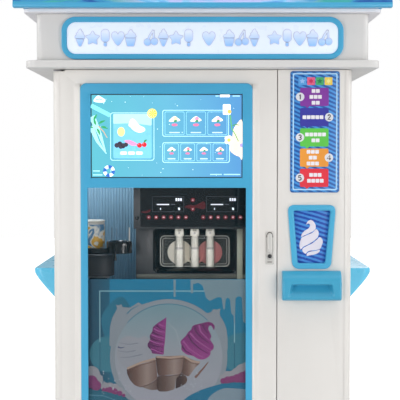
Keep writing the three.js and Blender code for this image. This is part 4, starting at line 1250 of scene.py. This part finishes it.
def draw_left_scoop(art):
    """A pale scoop that hardly stands out from the disc."""
    scoop = [(-396, 545), (-378, 590), (-340, 606), (-300, 596), (-262, 604), (-236, 566), (-230, 510)]
    art.draw(ink(148, 150, 158), blob(scoop + [(-350, 456), (-392, 500)]))
    folds = [[(-386, 574), (-340, 566), (-300, 572)], [(-392, 536), (-350, 530), (-310, 538)]]
    art.lines(ink(122, 128, 140), 2, 5, *folds, [(-380, 504), (-330, 508), (-280, 520)])
    art.lines(ink(84, 94, 122), 8, 3, [(-392, 554), (-380, 550), (-362, 553)])


def draw_middle_swirl(art):
    """The near side of a purple swirl, with folds darker and lighter than its ground."""
    outline = [(-167, 694), (-178, 685), (-206, 667), (-230, 648), (-233, 626), (-245, 608), (-242, 588)]
    outline += [(-255, 568), (-254, 556), (-238, 538), (-234, 524), (-204, 520), (-180, 518), (-177, 557)]
    outline += [(-173, 587), (-170, 636)]
    ground = fading("film_swirl", "X", -255, -170, srgb(92, 30, 86), srgb(142, 50, 126))
    art.draw(ground, cornered(outline, 4, 3))
    dark = [[(-231, 622), (-210, 613), (-182, 604)], [(-243, 600), (-222, 586), (-178, 576)]]
    dark += [[(-250, 572), (-228, 560), (-180, 552)], [(-252, 556), (-232, 540), (-184, 532)]]
    light = [[(-226, 640), (-204, 628), (-174, 622)], [(-236, 612), (-206, 600), (-176, 594)]]
    light += [[(-246, 586), (-214, 572), (-180, 566)], [(-240, 546), (-214, 536), (-182, 524)]]
    art.lines(ink(74, 22, 72), 6, 2, *dark, [(-214, 656), (-196, 640), (-174, 632)])
    art.lines(ink(172, 84, 156), 5, 2, *light, [(-200, 662), (-190, 654), (-174, 650)])
    art.lines(ink(156, 166, 170), 3, 2, [(-160, 668), (-122, 630), (-104, 560), (-96, 524)])


def draw_right_swirl(art):
    """The large purple swirl at the right."""
    outline = [(52, 634), (57, 648), (51, 661), (35, 670), (20, 671), (-4, 665), (-34, 658), (-48, 649)]
    outline += [(-52, 636), (-66, 624), (-76, 608), (-92, 592), (-102, 578), (-97, 560), (-98, 542)]
    outline += [(-86, 529), (-70, 518), (-43, 512), (-24, 500), (0, 495), (22, 504), (36, 518), (38, 534)]
    outline += [(50, 545), (52, 562), (42, 578), (36, 590), (41, 604), (34, 622), (27, 638), (32, 652)]
    outline.append((42, 652))
    tones = (srgb(150, 60, 132), srgb(128, 42, 114), srgb(112, 34, 98))
    art.draw(fading("film_swirl_right", "Z", 495, 672, *tones), blob(outline, 3))
    dark = [[(-38, 650), (-29, 624), (-4, 597), (30, 572)], [(-67, 612), (-48, 577), (-14, 547), (25, 525)]]
    dark += [[(-96, 560), (-78, 535), (-48, 518)], [(-2, 660), (10, 640), (24, 618)]]
    light = [[(-16, 656), (-9, 626), (13, 604), (36, 582)], [(-58, 620), (-29, 587), (5, 562), (40, 540)]]
    art.lines(ink(86, 26, 80), 8, 3, *dark)
    art.lines(ink(158, 76, 142), 8, 3, *light, [(-90, 584), (-63, 547), (-29, 523), (4, 506)])


def wafer(name, x0, x1, level):
    """Wafer brown, darkest at a cup's left side and lightest right of its middle."""
    tones = ((66, 40, 36), (112, 84, 74), (152, 132, 124), (112, 84, 76))
    return fading(name, "X", x0, x1, *[srgb(*(round(c * level) for c in tone)) for tone in tones])


def draw_cups(art):
    """Three wafer cups in a row, each of two tiers with a pale rim."""
    left = [(-352, 453), (-350, 429), (-336, 399), (-317, 377), (-292, 366), (-268, 372), (-234, 389)]
    left += [(-209, 409), (-217, 497)]
    left_low = [(-288, 372), (-232, 388), (-208, 410), (-204, 356), (-236, 352), (-270, 362)]
    right = [(-86, 512), (-9, 481), (-37, 453), (-64, 416), (-78, 421), (-102, 434), (-94, 468)]
    right_low = [(-104, 434), (-78, 421), (-69, 404), (-76, 384), (-96, 372), (-126, 358), (-122, 409)]
    middle = [(-218, 510), (-85, 515), (-96, 440), (-104, 426), (-204, 421), (-210, 434)]
    middle_low = [(-210, 418), (-104, 424), (-122, 408), (-130, 356), (-165, 346), (-204, 346), (-214, 370)]
    cups = (("left", -352, -209, left, left_low), ("right", -102, -10, right, right_low))
    for name, x0, x1, upper, lower in (*cups, ("middle", -218, -85, middle, middle_low)):
        art.draw(wafer(f"wafer_{name}_low", x0, x1, 0.86), cornered(lower, 8))
        art.draw(wafer(f"wafer_{name}", x0, x1, 1.0), cornered(upper, 7))
    rims = [[(-350, 453), (-284, 482), (-219, 500)], [(-214, 508), (-150, 504), (-88, 511)]]
    art.lines(ink(172, 146, 130), 9, 9, *rims, [(-84, 510), (-50, 488), (-12, 482)])
    under = [[(-347, 443), (-284, 470), (-217, 488)], [(-212, 500), (-150, 496), (-90, 502)]]
    art.lines(ink(92, 58, 50), 2.5, 2.5, *under, [(-86, 500), (-52, 480), (-20, 472)])
    seams = [[(-208, 422), (-154, 419), (-104, 425)], [(-290, 366), (-240, 382), (-210, 402)]]
    art.lines(ink(84, 52, 48), 3, 3, *seams)


# ---- the lock ----


def make_lock():
    """The lock: a plate with an arched mark, the lifting handle, the key cylinder, the spindle and cam."""
    b, h, key, spindle = (Box(node) for node in ("lock_plate", "lock_handle", "key_cylinder", "lock_spindle"))
    spindle_x, spindle_z = 310, 1074
    holes = [circle(key.x, key.z, 9.9), circle(key.x, spindle_z, 8, 24)]
    plate = front_slab([b.outline(5), *holes], b.y0, b.y1, bevel=0.9)
    arch = [(-14, 1064), (-13, 1076), (-7, 1086), (0, 1088.5), (7, 1086), (13, 1076), (14, 1064)]
    shadow = ink(120, 116, 110)
    slot_sizes = ((13.5, 962, 1086, 12), (12.6, 963, 1085, 11))
    border = [rounded(key.x - half, key.x + half, low, high, r) for half, low, high, r in slot_sizes]
    marks = [
        (front_slab([stroke(moved(arch, key.x, 0), 3.6)], b.y0 - 0.25, b.y0), ink(74, 68, 62)),
        (front_slab([rounded(key.x - 11, key.x + 11, 948, 953, 2, 3)], b.y0 - 0.25, b.y0), shadow),
        (front_slab(border, b.y0 - 0.2, b.y0), shadow),
    ]
    satin = painted("lock_enamel", srgb(214, 211, 206), 0.3, metallic=0.25)
    finished("lock_plate", [plate, *marks], satin, "front_door")
    grip = front_slab([h.outline(10, 10)], h.y0, h.y1, bevel=4, back_bevel=0.8, steps=5)
    finished("lock_handle", [grip], satin, "lock_handle")
    barrel = [(0, key.y1), (9, key.y1), (9, key.y0 + 2), (8.4, key.y0 + 0.6), (7, key.y0), (0, key.y0)]
    keyhole = brick(key.x - 1.1, key.x + 1.1, key.y0 - 0.3, key.y0 + 0.6, 971.5, 982.5, 0.3)
    barrel_parts = [lathe(barrel, key.x, key.z, 40, "Y"), (keyhole, GLOSS_BLACK)]
    finished("key_cylinder", barrel_parts, STEEL_SHADED, "key_cylinder")
    shaft = [(0, spindle.y1), (7, spindle.y1), (7, spindle.y0 + 0.6), (6.4, spindle.y0), (0, spindle.y0)]
    cam = cornered([(301, 1083), (319, 1083), (319, 1014), (314, 1010), (306, 1010), (301, 1014)], 3.5)
    nut = [(0, -418.2), (10, -418.2), (10, -418), (0, -418)]
    turned = [lathe(line, spindle_x, spindle_z, steps, "Y") for line, steps in ((shaft, 32), (nut, 6))]
    cam_plate = front_slab([cam], -426, -418, bevel=1, back_bevel=1)
    finished("lock_spindle", [cam_plate, *turned], STEEL_BRIGHT, "lock_spindle")


# ---- the soft serve freezer ----


def make_control_panel():
    """The black glass panel: two displays, rows of ring-shaped keys and two arrow keys."""
    b = Box("control_panel")
    finished("control_panel", [b.plate(6, bevel=1)], GLOSS_BLACK)
    deep_red, faint = ink(82, 8, 20, 0.4), ink(232, 190, 196, 0.6)
    art = Print()
    splash = [(-86, 1196), (-60, 1206), (-34, 1204), (8, 1222), (10, 1186), (-34, 1192), (-60, 1188)]
    art.draw(deep_red, blob(splash, 5))
    art.draw(deep_red, blob([(-296, 1172), (-270, 1176), (-250, 1184), (-252, 1172), (-274, 1166)], 4))
    for x in (-164.5, 94):
        draw_display(art, x)
    for z, up in ((1229, 1), (1185, -1)):
        draw_key(art, -46, z)
        art.draw(faint, [(-51, z - 3 * up), (-41, z - 3 * up), (-46, z + 4 * up)])
    z = 1146
    for start in (-257, 4):
        for k in range(6):
            x = start + 35.6 * k
            draw_key(art, x, z)
            bar = rounded(x - 4.5, x + 4.5, z - 3, z + 3, 1, 2)
            art.draw(faint, (star(x, z, 5.5, 4, 0.4), circle(x, z, 4.5, 14), bar)[k % 3])
    art.finish("control_panel_art", b.y0, "kiosk")


def draw_key(art, x, z):
    """A round key: a red ring with a dark centre."""
    art.draw(ink(150, 30, 44, 0.36), circle(x, z, 9.5, 28))
    art.draw(ink(84, 12, 24, 0.3), circle(x, z, 6.8, 28))


def draw_display(art, x):
    """A display about x: a thin border, three small blocks, two bars and two marks."""
    white, grey = ink(236, 240, 255, 1.0), ink(104, 108, 118, 0.1)
    art.draw(grey, *bordered(x - 76, x + 76, 1172, 1246, 4, 1.2, 3))
    for left in (x + 36, x + 47, x + 58):
        art.draw(white, rounded(left, left + 8, 1224, 1238, 2))
    art.draw(white, rounded(x - 54, x + 6, 1205, 1210, 2))
    art.draw(grey, rounded(x + 14, x + 34, 1206, 1210, 2))
    art.draw(white, rounded(x - 38, x - 34, 1182, 1191, 1.5))
    art.draw(white, blob([(x + 50, 1182), (x + 48, 1192), (x + 56, 1192), (x + 57, 1181)], 3))


def make_control_head():
    """The steel head round the panel, with a small lock at its left."""
    h = Box("control_head")
    softened("control_head", STEEL_SHADED, width=1.0)
    lock = lathe([(0, 0), (9, 0), (9, -2), (7.6, -3), (0, -3)], -314, 1142, 32, "Y", h.y0)
    keyhole = brick(-315, -313, h.y0 - 3.4, h.y0 - 2.8, 1138, 1146, 0.2)
    piece("control_head_lock", [lock, (keyhole, STEEL)], GLOSS_BLACK, "kiosk")


def make_drip_surround():
    """The black recess round the dispensing head: a flange, sloping walls and a flat floor."""
    b = Box("drip_surround")
    flange = ((5.5, b.y1, 20), (5.5, b.y0 + 6, 20), (0, b.y0 + 5.5, 26), (0, b.y0 + 1.5, 26), (1.2, b.y0, 25))
    walls = ((7, b.y0, 20), (9, b.y0 + 1.5, 19), (12, b.y0 + 6, 18), (28, b.y1 - 9, 16), (31, b.y1 - 8, 14))
    loops = [[(x, y, z) for x, z in b.outline(radius, 8, inward)] for inward, y, radius in flange + walls]
    finished("drip_surround", [loft(loops)], GLOSS_BLACK)


def make_dispensing_head():
    """The clear head: a thick rounded slab with three barrels, pale strips of painted highlight along its
    edges, and the product behind it.
    """
    b = Box("dispensing_head")
    left, middle, right = (Box("plunger_" + side) for side in ("left", "centre", "right"))
    high, front = b.z1, -222
    outline = rounded(b.x0, b.x1, b.z0 + 5, high, 22, 8)
    clear = [front_slab([outline], front, b.y1, bevel=4, back_bevel=1, steps=4)]
    shell = [(20, b.z0), (26, b.z0), (27, b.z0 + 1.5), (27, high - 3), (25.5, high - 1), (20, high - 1)]
    clear += [ring_lathe(shell, plunger.x, middle.y, 40) for plunger in (left, middle, right)]
    finished("dispensing_head", clear, ACRYLIC)
    # Painted highlights: pale strips round the slab's edge, an inner ring and a bar along its lower lip stand
    # in for light caught in the clear acrylic.
    bright = [
        front_slab([inset(outline, 1.0), inset(outline, 3.2)], front - 0.5, front + 0.4),
        front_slab([inset(outline, 13), inset(outline, 14.2)], front - 0.4, front + 0.4),
        brick(b.x0 + 60, b.x1 - 60, front - 4, front + 1, b.z0 + 6, b.z0 + 9, 0.8),
    ]
    glint = painted("acrylic_edge_highlight", srgb(214, 212, 204), 0.2, amount=0.1)
    piece("dispensing_head_edge_highlights", bright, glint, "kiosk")
    cream, pink = (srgb(250, 244, 230), srgb(240, 230, 208)), (srgb(222, 138, 134), srgb(204, 118, 118))
    make_product("product_left", "product_cream", left.x, middle.x, b.y1, front, cream)
    make_product("product_right", "product_pink", right.x, middle.x, b.y1, front, pink)


def make_product(name, look_name, x, middle, back, front, tones):
    """Product behind the clear head: a round mouth and a run from it towards the middle barrel, lit up a
    little by a painted glow.
    """
    z, toward = 963, 1 if x < middle else -1
    # The glow is painted light: the product shines as if lit, though it holds no lamp.
    look = fading(look_name, "X", x - 62, x + 62, *tones, glow=0.2)
    dome = [(0, 0.4), (59, 0.4), (60.5, -1.5), (59.5, -6), (52, -9), (30, -10), (0, -10.5)]
    run = stroke([(x + toward * 28, z - 6), (x + toward * 44, z - 34), (middle - toward * 8, z - 52)], 15, 9)
    flow = front_slab([run], front + 6, front + 14, bevel=2, back_bevel=2)
    piece(name, [lathe(dome, x, z, 64, "Y", back), flow], look, "kiosk")


def make_plungers():
    """Three plungers, each with a grey band, a forked collar and a stem."""
    body = [(0, 0), (17.5, 0), (18.8, 1.5), (18.8, 84), (18.2, 85), (18.8, 86), (18.8, 96), (18.2, 97)]
    body += [(17.4, 100), (17.2, 143), (16, 146), (16, 150)]
    top = [(16, 150.5), (21.5, 151), (22.5, 153), (22.5, 173), (21, 176), (12, 177.5), (11, 179)]
    top += [(8.5, 182), (8.5, 296), (7.5, 299), (0, 299)]
    band = [(0.25, 85.5), (18.75, 85.5), (19.15, 86.5), (19.15, 95.5), (18.75, 96.5), (0.25, 96.5)]
    for side in ("left", "centre", "right"):
        node = "plunger_" + side
        b = Box(node)
        x, y, z = b.x, b.y, b.z0
        parts = [lathe(body, x, y, base=z), lathe(top, x, y, base=z), (lathe(band, x, y, base=z), GREY_BAND)]
        parts += [brick(x + s - 6, x + s + 6, y - 21, y - 6, z + 158, z + 186, 3) for s in (-14, 14)]
        parts.append((brick(x - 5, x + 5, y - 22.9, y - 16, z + 160, z + 172, 2), GREY_BAND))
        finished(node, parts, CREAM, node)


def make_strips():
    """Two thin strips on the freezer's front, beside the recess and below it."""
    f, d = Box("freezer_housing"), Box("drip_surround")
    side = brick(d.x1 + 3, d.x1 + 30, f.y0 - 1.6, f.y0 - 0.2, 820, 1089, 0.6)
    piece("freezer_side_strip", [side], ink(172, 176, 160), "kiosk")
    lower = brick(f.x0 + 4, f.x1 - 4, f.y0 - 1.4, f.y0 - 0.2, 838, 858, 0.6)
    piece("freezer_lower_strip", [lower], ink(102, 104, 97), "kiosk")


def make_compressor():
    """A black can with a domed top and a short pipe."""
    b = Box("compressor")
    r, shoulder, dome = b.width / 2, 112, 60
    can = [(0, 0), (r - 4, 0), (r - 1, 3), (r - 1, 62), (r, 63), (r, 70), (r - 1, 71), (r - 1, shoulder)]
    turns = [math.pi / 2 * k / 10 for k in range(1, 10)]
    can += [((r - 1) * math.cos(turn), shoulder + dome * math.sin(turn)) for turn in turns]
    can.append((0, shoulder + dome))
    pipe = tube([(b.x + 20, b.y, b.z0 + 160), (b.x + 24, b.y, b.z0 + 172)], 4, 12)
    black = painted("compressor_black", srgb(30, 30, 33), 0.4, relief=0.2)
    finished("compressor", [lathe(can, b.x, b.y, base=b.z0), (pipe, STEEL_BRIGHT)], black)


def make_fan():
    """Five cambered blades on a hub."""
    b = Box("cooling_fan")
    x, z, root, tip = 120, 330, 27, 90
    blades, lengths, widths = 5, 8, 6
    hub = [(0, b.y0 + 1), (24, b.y0 + 1), (30, b.y0 + 5), (30, b.y1 - 1), (0, b.y1 - 1)]
    parts = [lathe(hub, x, z, 48, "Y")]
    for k in range(blades):
        loops = []
        for i in range(lengths + 1):
            r = root + (tip - root) * i / lengths
            pitch = 0.95 - 0.45 * i / lengths
            chord = 30 + 26 * math.sin(math.pi * (i + 1) / (lengths + 3))
            ring = []
            for side in (1, -1):
                for j in range(widths + 1)[::side]:
                    t = j / widths - 0.5
                    turn = TAU * k / blades + t * chord * math.cos(pitch) / r + 0.16 * i / lengths
                    depth = t * chord * math.sin(pitch) * 0.42 + 2.4 * (0.25 - t * t) + side * 0.9
                    ring.append((x + r * math.cos(turn), b.y + depth, z + r * math.sin(turn)))
            loops.append(ring)
        parts.append(loft(loops))
    finished("cooling_fan", parts, DARK, "cooling_fan", 45)


# ---- cup handling ----


def make_cup_dropper():
    """The cup dropper: a ring with three rods, a bracket, a knob and three screws."""
    d = Box("cup_dropper")
    x, y = -404, -252
    ring = [(46, 968), (60, 968), (62, 970), (62, 984), (61.9, 986), (61.9, 992), (62, 994), (62, 1018)]
    ring += [(58, 1026), (50, 1026), (46, 1022)]
    parts = [ring_lathe(ring, x, y), brick(d.x0, x - 50, y - 16, y + 16, 964, 992, 3)]
    rod = [(0, 1020), (3, 1020), (3, 1088), (2, 1091), (0, 1092)]
    for degrees, look in ((20, CREAM), (140, ACRYLIC), (260, ACRYLIC)):
        parts.append((lathe(rod, *polar(x, y, 51, degrees), 16), look))
    knob = [(0, 0), (8, 0), (8, 8), (7, 11), (5, 34), (0, 35)]
    parts.append(lathe(knob, x - 17, y - 56, 28, base=d.z0))
    dome = [(0, 1024), (4, 1024), (4, 1026), (2.5, 1027.4), (0, 1027.6)]
    for degrees in (-40, 60, 160):
        parts.append((lathe(dome, *polar(x, y, 54, degrees), 16), STEEL_BRIGHT))
    finished("cup_dropper", parts, GLOSS_BLACK)


def make_topping_dispenser():
    """The topping dispenser's drum on its stand and foot, and the canister on top."""
    t, c = Box("topping_dispenser"), Box("topping_canister")
    x, y = -517, -140
    drum = [(0, 848), (76, 848), (80, 851), (80, 859), (78.5, 860), (78.5, 940), (80, 941), (80, 952)]
    drum += [(74, 958), (62, 960), (62, 963), (0, 963)]
    stand = brick(x - 40, x + 40, y - 40, y + 40, t.z0, 848.5, 4)
    foot = (brick(x - 96, x + 60, y - 76, y + 60, 842, 848, 2), STEEL)
    parts = [lathe(drum, x, y, 64), stand, foot]
    for degrees in (250, 290):
        a = math.radians(degrees)
        parts.append((screw(x + 60 * math.cos(a), 946, y + 74.4 * math.sin(a), 3), STEEL_BRIGHT))
    finished("topping_dispenser", parts, DARK_GREY)
    tin = [(0, c.z0), (54, c.z0), (56, c.z0 + 2), (55.4, c.z0 + 4), (55.4, c.z1 - 12), (57, c.z1 - 10)]
    tin += [(58, c.z1 - 8), (58, c.z1 - 2), (55, c.z1), (50, c.z1), (49, c.z1 - 2), (0, c.z1 - 2)]
    sleeve = [(55.2, c.z0 + 10), (55.9, c.z0 + 10.4), (55.9, c.z1 - 20.4), (55.2, c.z1 - 20)]
    label = (ring_lathe(sleeve, c.x, c.y), canister_label())
    finished("topping_canister", [lathe(tin, c.x, c.y, 64), label], CREAM)


def canister_label():
    """White paper with soft patches of yellow and blue."""
    look = Look("canister_label")
    stops = [(0.42, srgb(92, 140, 178)), (0.47, srgb(234, 232, 222))]
    stops += [(0.54, srgb(238, 236, 226)), (0.58, srgb(230, 176, 60))]
    tone = look.ramp(look.noise(16, 1.5, None, 1.5), *stops)
    look.set(Base_Color=tone, Roughness=look.span(look.noise(30), 0.35, 0.5))
    look.bump(look.noise(500, 2.0), 0.05)
    return look.material


def make_cup_holder():
    """The cup's ring, the arm behind it and the sleeve that slides on the rod."""
    h = Box("cup_holder")
    x, y, rod_y = h.x, -252, -345
    rim = [(38, 700), (44, 700), (46, 702), (46, 727), (44.5, 730), (41, 730), (38, 726)]
    sleeve = [(0, h.z0), (8.8, h.z0), (9.8, h.z0 + 1.5), (9.8, 713), (8, 716), (0, 716)]
    parts = [ring_lathe(rim, x, y), lathe(sleeve, x, rod_y, 36)]
    parts.append(brick(x - 14, x + 14, rod_y - 9, y - 41, 700, 712, 3))
    finished("cup_holder", parts, STEEL_BRIGHT, "cup_holder")


make_floor()
make_feet()
make_side_panels()
make_back_panel()
make_column_panel()
make_liner()
make_canopy()
make_roof()
make_sign()
make_shelves()
make_spoon_tray()
make_hatch()
make_instruction_plate()
make_door()
make_surround()
make_touch_screen()
make_film()
make_lock()
make_control_head()
make_control_panel()
make_drip_surround()
make_dispensing_head()
make_plungers()
make_strips()
make_compressor()
make_fan()
make_cup_dropper()
make_topping_dispenser()
make_cup_holder()

# The rest keep their CAD shape, with softened edges: (nodes, look, width of the edge).
plain = (
    (("base_frame",), PLINTH, 1.0),
    (("ceiling_panel", "centre_post"), WHITE, 0.8),
    (("hinge_bracket_top", "hinge_bracket_bottom"), STEEL, 0.6),
    (("hatch_track",), ALUMINIUM, 0.8),
    (("hatch_motor",), DARK, 1.2),
    (("freezer_housing",), STEEL_SHADED, 1.0),
    (("lift_actuators", "sign_lamp"), DARK, 0.8),
    (("freezing_barrels", "mix_hopper"), STEEL, 0.8),
    (("transport_rail",), ALUMINIUM, 1.2),
)
for nodes, look, width in plain:
    for node in nodes:
        softened(node, look, width=width)
moving = (("hopper_lid", STEEL, 0.6), ("beater_left", CREAM, 1.2), ("beater_right", CREAM, 1.2))
for node, look, width in (*moving, ("cup_carriage", DARK, 1.5)):
    softened(node, look, node, width)
